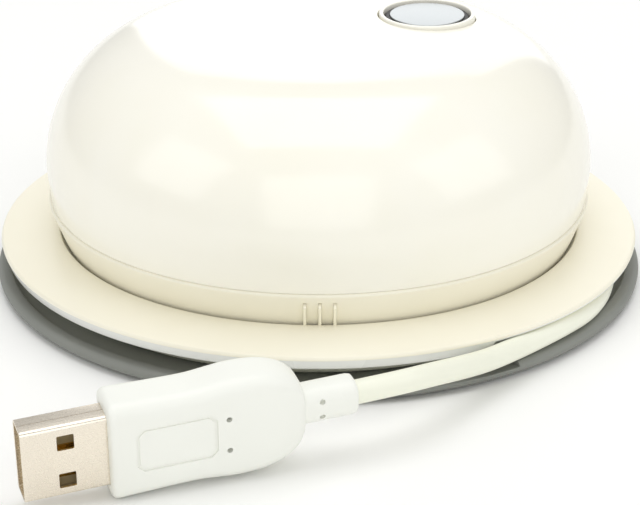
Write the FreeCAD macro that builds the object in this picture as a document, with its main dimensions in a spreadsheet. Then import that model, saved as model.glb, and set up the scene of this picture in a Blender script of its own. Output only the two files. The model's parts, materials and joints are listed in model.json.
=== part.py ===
"""Desktop USB hub: a domed turret that swivels on a saucer base with a wound cord.

Frame: origin on the table under the centre of the hub, +Z up, -Y towards the user,
+X to the user's right.  Lengths are millimetres and angles are degrees.
"""
import FreeCAD, Part
import math
import os
import re

import Sketcher

Vector = FreeCAD.Vector
Turn = FreeCAD.Rotation

SIZES = {
    # base tray and what stands on it
    "tray_step": 0.8, "tray_z": 0.7, "tray_floor": 1.05, "rim_z": 2.8, "rim_wall": 2.4,
    "tray_round": 1.05, "rim_round": 0.6,
    "scoop_from": -82.0, "scoop_to": -55.5, "scoop_z": 1.95,
    "drum_r": 30.0, "drum_wall": 1.8,
    "foot_r": 5.0, "foot_in": 0.35, "foot_inset": 11.2,
    "ballast_gap": 0.4, "ballast_tall": 3.2, "ballast_slot": 5.0, "wires_turn": 110.0,
    # saucer flange
    "saucer_wide": 10.35, "flange_edge": 0.4, "flange_crown": 0.84, "flange_round": 0.45,
    "recess_gap": 0.85, "recess_deep": 1.75, "recess_wall": 1.3, "flange_wall": 1.5,
    "lip_tall": 1.85, "lip_wall": 1.4, "lip_taper": 0.7,
    "notch_from": -60.0, "notch_to": -18.0, "notch_land": 0.45, "notch_deep": 7.0,
    # base screws and their bosses
    "boss_r": 2.3, "pad_r": 3.3, "pad_tall": 0.85, "boss_gap": 0.8, "boss_in": 0.7,
    "screw_r": 1.0, "screw_gap": 0.1, "head_r": 1.9, "head_tall": 0.8, "head_gap": 0.15,
    # pivot
    "pivot_r": 10.3, "pivot_bore": 5.0, "pivot_gap": 0.08, "pivot_drop": 0.3,
    "washer_inset": 0.9, "washer_wide": 8.8, "washer_wall": 0.6,
    "keeper_lap": 2.7, "keeper_wall": 0.8, "keeper_tab": 2.2,
    "tab_wide": 4.0, "tab_end": 0.3, "stop_wide": 3.0, "stop_room": 16.0, "stop_gap": 0.6, "swing": 90.0,
    # turret chassis, collar and dome
    "chassis_wall": 1.5, "chassis_gap": 0.25, "chassis_low": 0.1,
    "collar_low_r": 44.8, "collar_flare": 2.75, "collar_tall": 7.0, "collar_wall": 1.8,
    "tongue_wall": 1.2, "tongue_tall": 1.5, "tongue_gap": 0.1, "collar_seat": 1.6,
    "lug_long": 7.4, "lug_inset": 2.6, "lug_wide": 7.0, "lug_turn": 39.0, "lug_screw": 4.6,
    "part_gap": 0.1, "dome_inset": 0.6, "dome_swell": 0.6, "wide_up": 5.8, "dome_tall": 29.5,
    "shoulder_share": 0.98, "dome_wall": 2.2,
    "bar_x": 0.2, "bar_step": 2.4, "bar_wide": 0.5, "bar_up": 1.3, "bar_tall": 4.2,
    "bar_proud": 0.25, "bar_deep": 2.3, "fit_gap": 0.04,
    # circuit board and what it carries
    "board_room": 1.8, "board_wall": 1.6, "board_gap": 0.05,
    "port_step": 24.0, "port_far": 54.0, "port_wide": 13.2, "port_tall": 5.9,
    "port_wall": 0.3, "port_long": 14.0, "port_inset": 0.9, "window_gap": 0.2,
    "tongue_wide": 11.1, "tongue_thick": 1.84, "tongue_back": 2.0, "socket_root": 3.2,
    "blade_up": 0.35,
    "jack_wide": 9.0, "jack_tall": 10.0, "jack_long": 12.4, "jack_inset": 2.0,
    "jack_nose_r": 4.6, "jack_nose": 3.4, "jack_bore_r": 2.9, "jack_bore": 9.0,
    "jack_pin_r": 1.0, "chip_wide": 10.0, "chip_tall": 1.4, "can_r": 3.1, "can_tall": 7.0,
    "crystal_wide": 4.6, "crystal_long": 11.0, "crystal_tall": 3.6,
    "header_long": 8.0, "header_wide": 5.0, "header_tall": 2.3,
    "led_long": 7.0, "led_wide": 2.0, "led_tall": 1.6, "led_inset": 0.5,
    # push button
    "button_x": 18.9, "button_y": 5.9, "disc_edge": 0.8, "disc_wall": 0.45, "cap_r": 7.3,
    "cap_wall": 1.5, "cap_skirt": 1.2, "cap_tall": 3.7, "button_gap": 0.3,
    "bezel_wall": 0.8, "bezel_proud": 0.3, "bezel_tall": 7.4, "bezel_floor": 1.4,
    "bezel_flange": 1.8, "stem_r": 1.6, "travel": 0.8,
    "spring_r": 3.4, "spring_wire": 0.4, "spring_turns": 3.5,
    "switch_wide": 6.2, "switch_tall": 3.5, "plunger_r": 1.75, "plunger_tall": 1.2,
    # cord and plug
    "cord_r": 1.85, "cord_lift": 0.05, "coil_room": 0.4,
    "clamp_turn": 95.0, "clamp_long": 6.0, "clamp_wide": 5.6, "clamp_room": 8.0,
    "clamp_gap": 0.05, "clamp_out": 0.1, "wires_r": 0.95,
    "plug_x": -30.6, "plug_y": -84.4, "plug_z": 8.5,
    "plug_yaw": 199.45, "plug_pitch": 2.6, "plug_lean": -7.2,
    "shell_wide": 12.0, "shell_tall": 4.5, "shell_long": 12.5, "shell_in": 6.0,
    "shell_wall": 0.3, "latch_wide": 2.5, "latch_from_tip": 6.4, "latch_side": 3.25,
    "mold_half": 8.05, "mold_waist": 7.75, "mold_bulge": 8.3, "mold_thick": 8.2,
    "mold_long": 29.5, "mold_bend": 14.0, "neck_wide": 5.8, "neck_thick": 5.4, "neck_long": 8.5,
    "blade_thick": 1.9, "blade_back": 0.8, "strip_wide": 1.0, "strip_thick": 0.3,
}

# Sizes that follow from their neighbours and a named clearance.
LINKED = {
    "floor_z": "tray_z + tray_floor",
    "cord_z": "floor_z + cord_r + cord_lift",
    "cavity_z": "floor_z + cord_lift + 2 * cord_r + coil_room",
    "recess_floor_z": "cavity_z + recess_wall",
    "recess_top_z": "recess_floor_z + recess_deep",
    "flange_edge_z": "recess_floor_z + flange_edge",
    "flange_top_z": "recess_floor_z + flange_crown",
    "lip_z": "flange_edge_z - lip_tall",
    "notch_z": "flange_edge_z - notch_land",
    "recess_r": "collar_low_r + recess_gap",
    "flange_r": "recess_r + saucer_wide",
    "lip_in": "flange_r - lip_taper - lip_wall",
    "tray_r": "flange_r + tray_step",
    "foot_ring": "tray_r - foot_inset",
    "screw_hole": "screw_r + screw_gap",
    "boss_ring": "drum_r - drum_wall - pad_r + boss_in",
    "coil_in": "drum_r + clamp_out + clamp_wide / 2 + 6 * clamp_gap",
    "coil_out": "lip_in - coil_room",
    "ballast_out": "boss_ring - pad_r - boss_gap",
    "ballast_in": "stop_r + keeper_tab + ballast_gap",
    "pivot_low_z": "cavity_z - pivot_drop",
    "washer_in": "pivot_r + washer_inset",
    "washer_out": "washer_in + washer_wide",
    "chassis_z": "recess_floor_z + washer_wall",
    "keeper_r": "pivot_r + keeper_lap",
    "keeper_ring": "(pivot_bore + pivot_r) / 2",
    "keeper_z": "pivot_low_z - keeper_wall",
    "stop_r": "keeper_r + stop_gap",
    "collar_z": "chassis_z - chassis_low",
    "collar_top_z": "collar_z + collar_tall",
    "collar_top_r": "collar_low_r + collar_flare",
    "dome_low_z": "collar_top_z + part_gap",
    "dome_low_r": "collar_top_r - dome_inset",
    "dome_r": "dome_low_r + dome_swell",
    "dome_z": "collar_top_z + dome_tall",
    "wide_z": "collar_top_z + wide_up",
    "shoulder_r": "shoulder_share * (dome_z - wide_z)",
    "rim_out": "dome_low_r - dome_wall - tongue_gap",
    "rim_in": "rim_out - tongue_wall",
    "board_r": "rim_in - board_room",
    "board_top": "collar_top_z + board_wall",
    "part_z": "board_top + board_gap",
    "lug_out": "collar_top_r - lug_inset",
    "lug_in": "lug_out - lug_long",
    "lug_ring": "lug_out - lug_screw",
    "lug_z": "chassis_z + chassis_wall + board_gap",
    "lug_meet_z": "(lug_z + collar_top_z) / 2 - board_gap / 2",
    "bar_low_z": "collar_z + bar_up",
    "bar_top_z": "bar_low_z + bar_tall",
    "port_mouth": "dome_r - port_inset",
    "port_z": "part_z + port_tall / 2",
    "jack_face": "dome_r - dome_wall - jack_inset",
    "jack_z": "part_z + jack_tall / 2",
    "cap_z": "dome_z",
    "cap_low_z": "cap_z - cap_tall",
    "disc_r": "cap_r - disc_edge",
    "bezel_z": "dome_z + bezel_proud",
    "bezel_floor_z": "bezel_z - bezel_tall",
    "stem_low_z": "part_z + switch_tall + plunger_tall",
}

STRIPS = ("-3.5", "-1.0", "1.0", "3.5")  # standard places of the four contacts

# Route of the cord from inside its coil, out under the flange, to the plug's neck.
CORD_ROUTE = [
    (49.5, -14.0, 3.75), (47.9, -22.6, 4.2), (44.6, -31.4, 4.75), (39.2, -38.4, 5.0),
    (32.8, -45.0, 5.0), (26.7, -52.3, 5.9), (21.9, -58.0, 7.4), (17.2, -64.0, 9.3),
    (11.3, -69.4, 10.45),
]
# Route of the bare wires from the clamp, under the pivot, up to the circuit board.
WIRE_ROUTE = [
    (-5.6, 29.7, 3.65), (-8.0, 28.9, 3.4), (-8.9, 25.8, 2.9), (-7.2, 20.2, 2.8),
    (-4.9, 14.0, 2.85), (-2.3, 8.0, 2.8), (-0.7, 3.6, 3.0), (0.0, 0.6, 5.6),
    (0.0, 0.0, 9.2), (0.0, 0.1, 12.3),
]

doc = FreeCAD.newDocument("UsbHub")
sheet = doc.addObject("Spreadsheet::Sheet", "Sizes")
for row, (word, size) in enumerate(SIZES.items(), 1):
    sheet.set("A%d" % row, word)
    sheet.set("B%d" % row, str(size))
    sheet.setAlias("B%d" % row, word)
doc.recompute()

nodes = {}


# ---------------------------------------------------------------- helpers

def rule(text):
    """An expression in which every size's word points at its cell."""
    def cell(match):
        word = match.group()
        if word in LINKED:
            return "(%s)" % rule(LINKED[word])
        return "Sizes." + word if word in SIZES else word
    return re.sub(r"[a-z]\w*", cell, text)


def size(text):
    """The present value of a rule, for starting positions and for placements."""
    return float(sheet.evalExpression(rule(text)))


def made(kind, label, **rules):
    """A document object whose properties follow the sheet."""
    item = doc.addObject(kind, label)
    item.Label = label
    for prop, text in rules.items():
        item.setExpression(prop, rule(text))
    return item


def put(item, x="0", y="0", z="0", turn=None):
    """Place an object by rules, turned about +Z."""
    for axis, text in zip("xyz", (x, y, z)):
        item.setExpression("Placement.Base." + axis, rule(text))
    if turn is not None:
        item.setExpression("Placement.Rotation.Angle", rule(turn))
    return item


def block(label, x, y, z, long, wide, tall):
    """A box from its lowest corner and its three lengths."""
    return put(made("Part::Box", label, Length=long, Width=wide, Height=tall), x, y, z)


def slab(label, x, wide, z, long, tall):
    """A box that is centred on the XZ plane."""
    return block(label, x, "-(%s) / 2" % wide, z, long, wide, tall)


def rod(label, radius, z, tall, x="0", y="0"):
    """A cylinder that stands on z."""
    return put(made("Part::Cylinder", label, Radius=radius, Height=tall), x, y, z)


def joined(label, *items):
    item = doc.addObject("Part::MultiFuse", label)
    item.Shapes = list(items)
    return item


def cut(label, base, *tools):
    item = doc.addObject("Part::Cut", label)
    item.Base = base
    item.Tool = tools[0] if len(tools) == 1 else joined(label + "_tools", *tools)
    return item


def shared(label, base, tool):
    item = doc.addObject("Part::Common", label)
    item.Base = base
    item.Tool = tool
    return item


def pipe(label, outer, inner, z, tall, x="0", y="0"):
    """A round tube that stands on z."""
    return cut(label, rod(label + "_outer", outer, z, tall, x, y),
               rod(label + "_inner", inner, "(%s) - 1" % z, "(%s) + 2" % tall, x, y))


def grouped(label, items):
    """Separate equal solids kept as one piece."""
    item = doc.addObject("Part::Compound", label)
    item.Links = list(items)
    return item


def keep(label, item):
    """Give a finished sub-part its node name."""
    item.Label = label
    nodes[label] = item
    return item


def new_sketch(body, role, name):
    plane = next(f for f in body.Origin.OriginFeatures if f.Role == role)
    sketch = body.newObject("Sketcher::SketchObject", name)
    sketch.AttachmentSupport = [(plane, "")]
    sketch.MapMode = "FlatFace"
    return sketch


def pin(sketch, edge, end, x, y):
    """Hold one end of a sketch edge at a place given by two rules."""
    for kind, text in (("DistanceX", x), ("DistanceY", y)):
        index = sketch.addConstraint(
            Sketcher.Constraint(kind, -1, 1, edge, end, size(text)))
        sketch.setExpression("Constraints[%d]" % index, rule(text))


def hold_radius(sketch, edge, text):
    index = sketch.addConstraint(Sketcher.Constraint("Radius", edge, size(text)))
    sketch.setExpression("Constraints[%d]" % index, rule(text))


def arc(centre, radius, start, end):
    """The counter-clockwise arc about centre from start to end."""
    circle = Part.Circle(centre, Vector(0, 0, 1), radius)
    first = math.atan2(start.y - centre.y, start.x - centre.x)
    last = math.atan2(end.y - centre.y, end.x - centre.x)
    return Part.ArcOfCircle(circle, first, last)


def outline(sketch, corners):
    """A closed outline of rules.  A corner is (x, y), or (x, y, radius, side) where an
    arc runs from it to the next corner: side +1 bends left, -1 bends right."""
    places = [Vector(size(c[0]), size(c[1]), 0) for c in corners]
    ends = []
    for corner, here, there in zip(corners, places, places[1:] + places[:1]):
        if len(corner) == 2:
            sketch.addGeometry(Part.LineSegment(here, there), False)
            ends.append((1, 2))
            continue
        radius, side = size(corner[2]), corner[3]
        chord = there - here
        across = Vector(-chord.y, chord.x, 0).normalize()
        reach = math.sqrt(radius ** 2 - chord.Length ** 2 / 4)
        centre = (here + there) * 0.5 + across * (reach * side)
        first, last = (here, there) if side > 0 else (there, here)
        sketch.addGeometry(arc(centre, radius, first, last), False)
        ends.append((1, 2) if side > 0 else (2, 1))
    for edge, corner in enumerate(corners):
        after = (edge + 1) % len(corners)
        sketch.addConstraint(Sketcher.Constraint(
            "Coincident", edge, ends[edge][1], after, ends[after][0]))
        pin(sketch, edge, ends[edge][0], corner[0], corner[1])
        if len(corner) > 2:
            hold_radius(sketch, edge, corner[2])
    return sketch


def revolved(label, corners):
    """A round piece turned about +Z from its half section (radius, height)."""
    body = doc.addObject("PartDesign::Body", label)
    sketch = outline(new_sketch(body, "XZ_Plane", label + "_section"), corners)
    spin = body.newObject("PartDesign::Revolution", label + "_turned")
    spin.Profile = sketch
    spin.ReferenceAxis = (sketch, ["V_Axis"])
    spin.Angle = 360
    return body


def padded(label, role, corners, tall):
    """A flat outline given a thickness, half to each side of its plane."""
    body = doc.addObject("PartDesign::Body", label)
    sketch = outline(new_sketch(body, role, label + "_outline"), corners)
    pad = body.newObject("PartDesign::Pad", label + "_pad")
    pad.Profile = sketch
    pad.Midplane = True
    pad.setExpression("Length", rule(tall))
    return body


def around(label, item, turns):
    """Copies of one object set round the +Z axis."""
    copies = []
    for number, turn in enumerate(turns, 1):
        copy = doc.addObject("App::Link", "%s_%d" % (label, number))
        copy.LinkedObject = item
        copy.LinkTransform = True
        copy.setExpression("Placement.Rotation.Angle", rule(turn))
        copies.append(copy)
    return copies


def bent_path(name, points):
    """Straight runs joined by tangent arcs, each as large as its two runs allow."""
    places = [Vector(*p) for p in points]
    edges, radii = [], []
    last = places[0]
    for before, here, after in zip(places, places[1:], places[2:]):
        into, out = here - before, after - here
        half = into.getAngle(out) / 2
        reach = 0.45 * min(into.Length, out.Length)
        radius = reach / math.tan(half)
        into.normalize()
        out.normalize()
        start, end = here - into * reach, here + out * reach
        middle = here + (out - into).normalize() * (radius / math.cos(half) - radius)
        edges.append(Part.LineSegment(last, start).toShape())
        edges.append(Part.Arc(start, middle, end).toShape())
        radii.append(round(radius, 1))
        last = end
    edges.append(Part.LineSegment(last, places[-1]).toShape())
    print(name, "bend radii", radii)
    return Part.Wire(edges)


def tube(label, points, radius):
    """A round cord along a bent path."""
    path = bent_path(label, points)
    first = Vector(*points[0])
    ahead = Vector(*points[1]) - first
    ring = Part.Wire([Part.Circle(first, ahead, radius).toShape()])
    item = doc.addObject("Part::Feature", label)
    item.Shape = path.makePipeShell([ring], True, False)
    section = math.pi * radius ** 2
    print(label, "length", round(path.Length, 1),
          "volume / (section x length)", round(item.Shape.Volume / section / path.Length, 4))
    return item


# ---------------------------------------------------------------- base

BASE_TURNS = ["45", "135", "225", "315"]
STOP_TURNS = ["90 + swing + stop_room", "90 - swing - stop_room"]


def base_tray():
    shell = revolved("tray_turned", [
        ("0", "tray_z"),
        ("tray_r - tray_round", "tray_z", "tray_round", 1),
        ("tray_r", "tray_z + tray_round"),
        ("tray_r", "rim_z - rim_round", "rim_round", 1),
        ("tray_r - rim_round", "rim_z"),
        ("tray_r - rim_wall", "rim_z"),
        ("tray_r - rim_wall", "floor_z"),
        ("drum_r", "floor_z"),
        ("drum_r", "cavity_z"),
        ("drum_r - drum_wall", "cavity_z"),
        ("drum_r - drum_wall", "floor_z"),
        ("0", "floor_z"),
    ])
    pads = around("pad", rod("screw_pad", "pad_r", "floor_z", "pad_tall", "boss_ring"), BASE_TURNS)
    stop = slab("swing_stop", "stop_r", "stop_wide", "floor_z", "keeper_tab",
                "pivot_low_z - 2 * screw_gap - floor_z")
    stops = around("stop", stop, STOP_TURNS)
    window = slab("drum_window", "drum_r - 3 * drum_wall", "clamp_long + 2 * clamp_room",
                  "floor_z", "4 * drum_wall", "cavity_z - floor_z + 1")
    windows = around("drum_window_at", window, ["clamp_turn"])
    holes = around("hole", rod("base_screw_hole", "screw_hole", "0", "cavity_z", "boss_ring"), BASE_TURNS)
    heads = around("head", rod("base_head_hole", "head_r + screw_gap", "0",
                               "tray_z + head_tall + head_gap", "boss_ring"), BASE_TURNS)
    feet = around("foot_seat", rod("foot_seat", "foot_r + screw_gap", "0", "tray_z + foot_in",
                                   "foot_ring"), BASE_TURNS)
    scoop = revolved_sector("finger_scoop", "tray_r - rim_wall - 1", "tray_r + 1", "scoop_z",
                            "rim_z + 1", "scoop_from", "scoop_to")
    whole = joined("tray_whole", shell, *pads, *stops)
    keep("base_tray", cut("base_tray", whole, *windows, *holes, *heads, *feet, scoop))


def rubber_feet():
    foot = rod("foot", "foot_r", "0", "tray_z + foot_in", "foot_ring")
    keep("rubber_feet", grouped("rubber_feet", around("rubber_foot", foot, BASE_TURNS)))


def ballast_ring():
    ring = pipe("ballast_pipe", "ballast_out", "ballast_in", "floor_z + fit_gap / 2",
                "ballast_tall")
    gap = slab("ballast_gap", "ballast_in - 2", "ballast_slot", "0",
               "ballast_out - ballast_in + 4", "2 * ballast_tall + 2")
    gaps = around("ballast_gap_at", gap, ["wires_turn"])
    keep("ballast_ring", cut("ballast_ring", ring, *gaps))


def cord_flange():
    slope = "(recess_top_z - flange_top_z) / (flange_r - flange_round - recess_r)"
    shell = revolved("flange_turned", [
        ("pivot_r + pivot_gap", "cavity_z"),
        ("recess_r + flange_wall", "cavity_z"),
        ("recess_r + flange_wall", "recess_top_z - flange_wall * (1 + %s)" % slope),
        ("lip_in", "recess_top_z - flange_wall - (lip_in - recess_r) * %s" % slope),
        ("lip_in", "lip_z"),
        ("flange_r - lip_taper", "lip_z"),
        ("flange_r", "flange_edge_z", "flange_round", 1),
        ("flange_r - flange_round", "flange_top_z"),
        ("recess_r", "recess_top_z"),
        ("recess_r", "recess_floor_z"),
        ("pivot_r + pivot_gap", "recess_floor_z"),
    ])
    boss = rod("flange_boss", "boss_r", "floor_z + pad_tall", "recess_floor_z - floor_z - 1.5",
               "boss_ring")
    bosses = around("boss", boss, BASE_TURNS)
    boss_hole = rod("flange_boss_hole", "screw_hole", "0", "cavity_z - pivot_drop", "boss_ring")
    holes = around("boss_hole", boss_hole, BASE_TURNS)
    notch = revolved_sector("cord_notch", "flange_r - notch_deep", "flange_r + 1", "lip_z - 1",
                            "notch_z", "notch_from", "notch_to")
    keep("cord_flange", cut("cord_flange", joined("flange_whole", shell, *bosses), *holes, notch))


def revolved_sector(label, inner, outer, low, high, turn_from, turn_to):
    """A part of a ring between two turns about +Z."""
    big = made("Part::Cylinder", label + "_big", Radius=outer, Height="(%s) - (%s)" % (high, low),
               Angle="(%s) - (%s)" % (turn_to, turn_from))
    put(big, z=low, turn=turn_from)
    return cut(label, big, rod(label + "_core", inner, "(%s) - 1" % low,
                               "(%s) - (%s) + 2" % (high, low)))


def screws(label, ring, head_low, tip, turns, head_down=True):
    """Equal pan-head screws on a circle; head_low is the head's outer face."""
    if head_down:
        head = rod(label + "_head", "head_r", head_low, "head_tall", ring)
        shank = rod(label + "_shank", "screw_r", head_low, "(%s) - (%s)" % (tip, head_low), ring)
    else:
        head = rod(label + "_head", "head_r", "(%s) - head_tall" % head_low, "head_tall", ring)
        shank = rod(label + "_shank", "screw_r", tip, "(%s) - (%s)" % (head_low, tip), ring)
    one = joined(label + "_one", head, shank)
    keep(label, grouped(label, around(label + "_copy", one, turns)))


def slide_washer():
    keep("slide_washer", pipe("slide_washer", "washer_out", "washer_in", "recess_floor_z",
                              "washer_wall"))


def cord_clamp():
    body = slab("clamp_block", "drum_r + clamp_out - clamp_wide / 2", "clamp_long",
                "floor_z", "clamp_wide", "cavity_z - floor_z - clamp_gap")
    bore = made("Part::Cylinder", "clamp_bore", Radius="cord_r", Height="clamp_long + 2")
    bore.Placement.Rotation = Turn(Vector(1, 0, 0), 90)
    put(bore, "drum_r + clamp_out", "clamp_long / 2 + 1", "cord_z")
    clamp = cut("cord_clamp", body, bore)
    keep("cord_clamp", put(clamp, turn="clamp_turn"))


def cord_pieces():
    keep("cord_coil", pipe("cord_coil", "coil_out", "coil_in", "floor_z + cord_lift",
                           "2 * cord_r"))
    keep("cord_lead", tube("cord_lead", CORD_ROUTE + [tuple(neck_end())], size("cord_r")))
    keep("inner_wires", tube("inner_wires", WIRE_ROUTE, size("wires_r")))


# ---------------------------------------------------------------- plug

def plug_place():
    """The plug lies on its narrow edge: its own +X is the tip, +Z its width."""
    turn = Turn(Vector(0, 0, 1), size("plug_yaw"))
    turn = turn.multiply(Turn(Vector(0, 1, 0), size("plug_pitch")))
    turn = turn.multiply(Turn(Vector(1, 0, 0), size("plug_lean")))
    return FreeCAD.Placement(Vector(size("plug_x"), size("plug_y"), size("plug_z")), turn)


def neck_end():
    return plug_place().multVec(Vector(-size("mold_long + neck_long"), 0, 0))


def plug():
    place = plug_place()
    waist_x, bulge_x = "-0.42 * mold_long", "-0.66 * mold_long"
    half = [
        ("0", "mold_half"), (waist_x, "mold_waist"), (bulge_x, "mold_bulge", "mold_bend", 1),
        ("-mold_long", "neck_wide / 2"), ("-mold_long - neck_long", "neck_wide / 2"),
    ]
    lower = [
        ("-mold_long - neck_long", "-neck_wide / 2"), ("-mold_long", "-neck_wide / 2", "mold_bend", 1),
        (bulge_x, "-mold_bulge"), (waist_x, "-mold_waist"), ("0", "-mold_half"),
    ]
    grip = padded("plug_grip", "XZ_Plane", half + lower, "mold_thick")
    trim = "(mold_thick - neck_thick) / 2"
    shaves = [
        block("neck_shave_%d" % n, "-mold_long - neck_long - 1", y, "-neck_wide",
              "neck_long + 1", trim, "2 * neck_wide")
        for n, y in ((1, "neck_thick / 2"), (2, "-mold_thick / 2"))
    ]
    socket = slab("plug_socket", "-shell_in", "shell_tall + 2 * fit_gap",
                  "-shell_wide / 2 - fit_gap", "shell_in + 1", "shell_wide + 2 * fit_gap")
    mold = cut("plug_overmold", grip, *shaves, socket)
    sleeve = cut("plug_sleeve",
                 slab("shell_outer", "-shell_in", "shell_tall", "-shell_wide / 2",
                      "shell_in + shell_long", "shell_wide"),
                 slab("shell_inner", "-shell_in - 1", "shell_tall - 2 * shell_wall",
                      "-shell_wide / 2 + shell_wall", "shell_in + shell_long + 2",
                      "shell_wide - 2 * shell_wall"))
    latches = [
        block("latch_%d" % n, "shell_long - latch_from_tip - latch_wide / 2", "-shell_tall",
              "%s - latch_wide / 2" % side, "latch_wide", "2 * shell_tall", "latch_wide")
        for n, side in ((1, "latch_side"), (2, "-latch_side"))
    ]
    shell = cut("plug_shell", sleeve, *latches)
    blade_y = "-shell_tall / 2 + shell_wall + fit_gap"
    blade = block("plug_blade", "-shell_in + fit_gap", blade_y,
                  "-shell_wide / 2 + shell_wall + fit_gap", "shell_in + shell_long - blade_back",
                  "blade_thick", "shell_wide - 2 * shell_wall - 2 * fit_gap")
    contacts = [
        block("plug_contact_%d" % n, "-shell_in + 1", blade_y + " + blade_thick",
              "%s - strip_wide / 2" % z, "shell_in + shell_long - blade_back - 2",
              "strip_thick", "strip_wide")
        for n, z in enumerate(STRIPS, 1)
    ]
    pieces = {"plug_overmold": mold, "plug_shell": shell,
              "plug_insulator": grouped("plug_insulator", [blade]),
              "plug_contacts": grouped("plug_contacts", contacts)}
    for label, item in pieces.items():
        item.Placement = place
        keep(label, item)


# ---------------------------------------------------------------- turret

LUG_TURNS = ["90 - lug_turn", "90 + lug_turn", "270 - lug_turn", "270 + lug_turn"]
KEEPER_TURNS = ["30", "150", "270"]
PORT_TURNS = ["90 - port_far", "90 - port_step", "90 + port_step", "90 + port_far"]


def collar_radius(z, more="0"):
    """The collar's radius at a height, and some more or less."""
    return "(collar_low_r + (%s - collar_z) * collar_flare / collar_tall + %s)" % (z, more)


def chassis():
    disc = pipe("chassis_disc", collar_radius("collar_z", "-collar_wall - chassis_gap"),
                "pivot_bore", "chassis_z", "chassis_wall")
    spigot = pipe("chassis_spigot", "pivot_r", "pivot_bore", "pivot_low_z",
                  "chassis_z - pivot_low_z + chassis_wall / 2")
    low = rod("chassis_hole", "screw_hole", "0", "collar_top_z", "lug_ring")
    head = rod("chassis_head", "head_r + screw_gap", "0", "chassis_z + head_tall + screw_gap",
               "lug_ring")
    keeper_hole = rod("spigot_hole", "screw_hole", "0", "collar_top_z", "keeper_ring")
    tools = around("chassis_hole_at", low, LUG_TURNS) + around("chassis_head_at", head, LUG_TURNS)
    tools += around("spigot_hole_at", keeper_hole, KEEPER_TURNS)
    keep("turret_chassis", cut("turret_chassis", joined("chassis_whole", disc, spigot), *tools))


def retaining_washer():
    ring = pipe("keeper_ring", "keeper_r", "pivot_bore", "keeper_z", "keeper_wall")
    tab = slab("keeper_tab", "keeper_r - 1", "tab_wide", "keeper_z",
               "stop_r - keeper_r + keeper_tab + 1 - tab_end", "keeper_wall")
    tabs = around("keeper_tab_at", tab, ["90"])
    hole = rod("keeper_hole", "screw_hole", "0", "collar_top_z", "keeper_ring")
    holes = around("keeper_hole_at", hole, KEEPER_TURNS)
    keep("retaining_washer", cut("retaining_washer", joined("keeper_whole", ring, *tabs), *holes))


def bar_boxes(label, extra):
    """Three narrow upright boxes at the front of the collar."""
    boxes = []
    for number, step in enumerate((-1, 0, 1), 1):
        boxes.append(block("%s_%d" % (label, number),
                           "bar_x + %d * bar_step - bar_wide / 2 - %s" % (step, extra),
                           "-dome_r - 2", "bar_low_z - %s" % extra,
                           "bar_wide + 2 * %s" % extra, "lug_out - lug_in + 5",
                           "bar_tall + 2 * %s" % extra))
    return boxes


def collar_ring():
    shell = revolved("collar_turned", [
        ("collar_low_r", "collar_z"),
        ("collar_top_r", "collar_top_z"),
        ("rim_out", "collar_top_z"),
        ("rim_out", "collar_top_z + tongue_tall"),
        ("rim_in", "collar_top_z + tongue_tall"),
        ("rim_in", "collar_top_z - collar_seat"),
        ("collar_low_r - collar_wall", "collar_z"),
    ])
    lug = slab("collar_lug", "lug_in", "lug_wide", "lug_z", "lug_out - lug_in",
               "collar_top_z - lug_z - board_gap")
    lugs = around("collar_lug_at", lug, LUG_TURNS)
    hole = rod("lug_hole", "screw_hole", "0", "board_top", "lug_ring")
    holes = around("lug_hole_at", hole, LUG_TURNS)
    keep("collar_ring", cut("collar_ring", joined("collar_whole", shell, *lugs), *holes,
                            *bar_boxes("bar_slot", "fit_gap")))


def indicator_bars():
    ring = revolved("bar_ring", [
        (collar_radius("bar_low_z", "-bar_deep"), "bar_low_z - 1"),
        (collar_radius("bar_low_z - 1", "bar_proud"), "bar_low_z - 1"),
        (collar_radius("bar_top_z + 1", "bar_proud"), "bar_top_z + 1"),
        (collar_radius("bar_low_z", "-bar_deep"), "bar_top_z + 1"),
    ])
    boxes = joined("bar_boxes", *bar_boxes("bar", "0"))
    keep("indicator_bars", shared("indicator_bars", ring, boxes))


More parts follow.
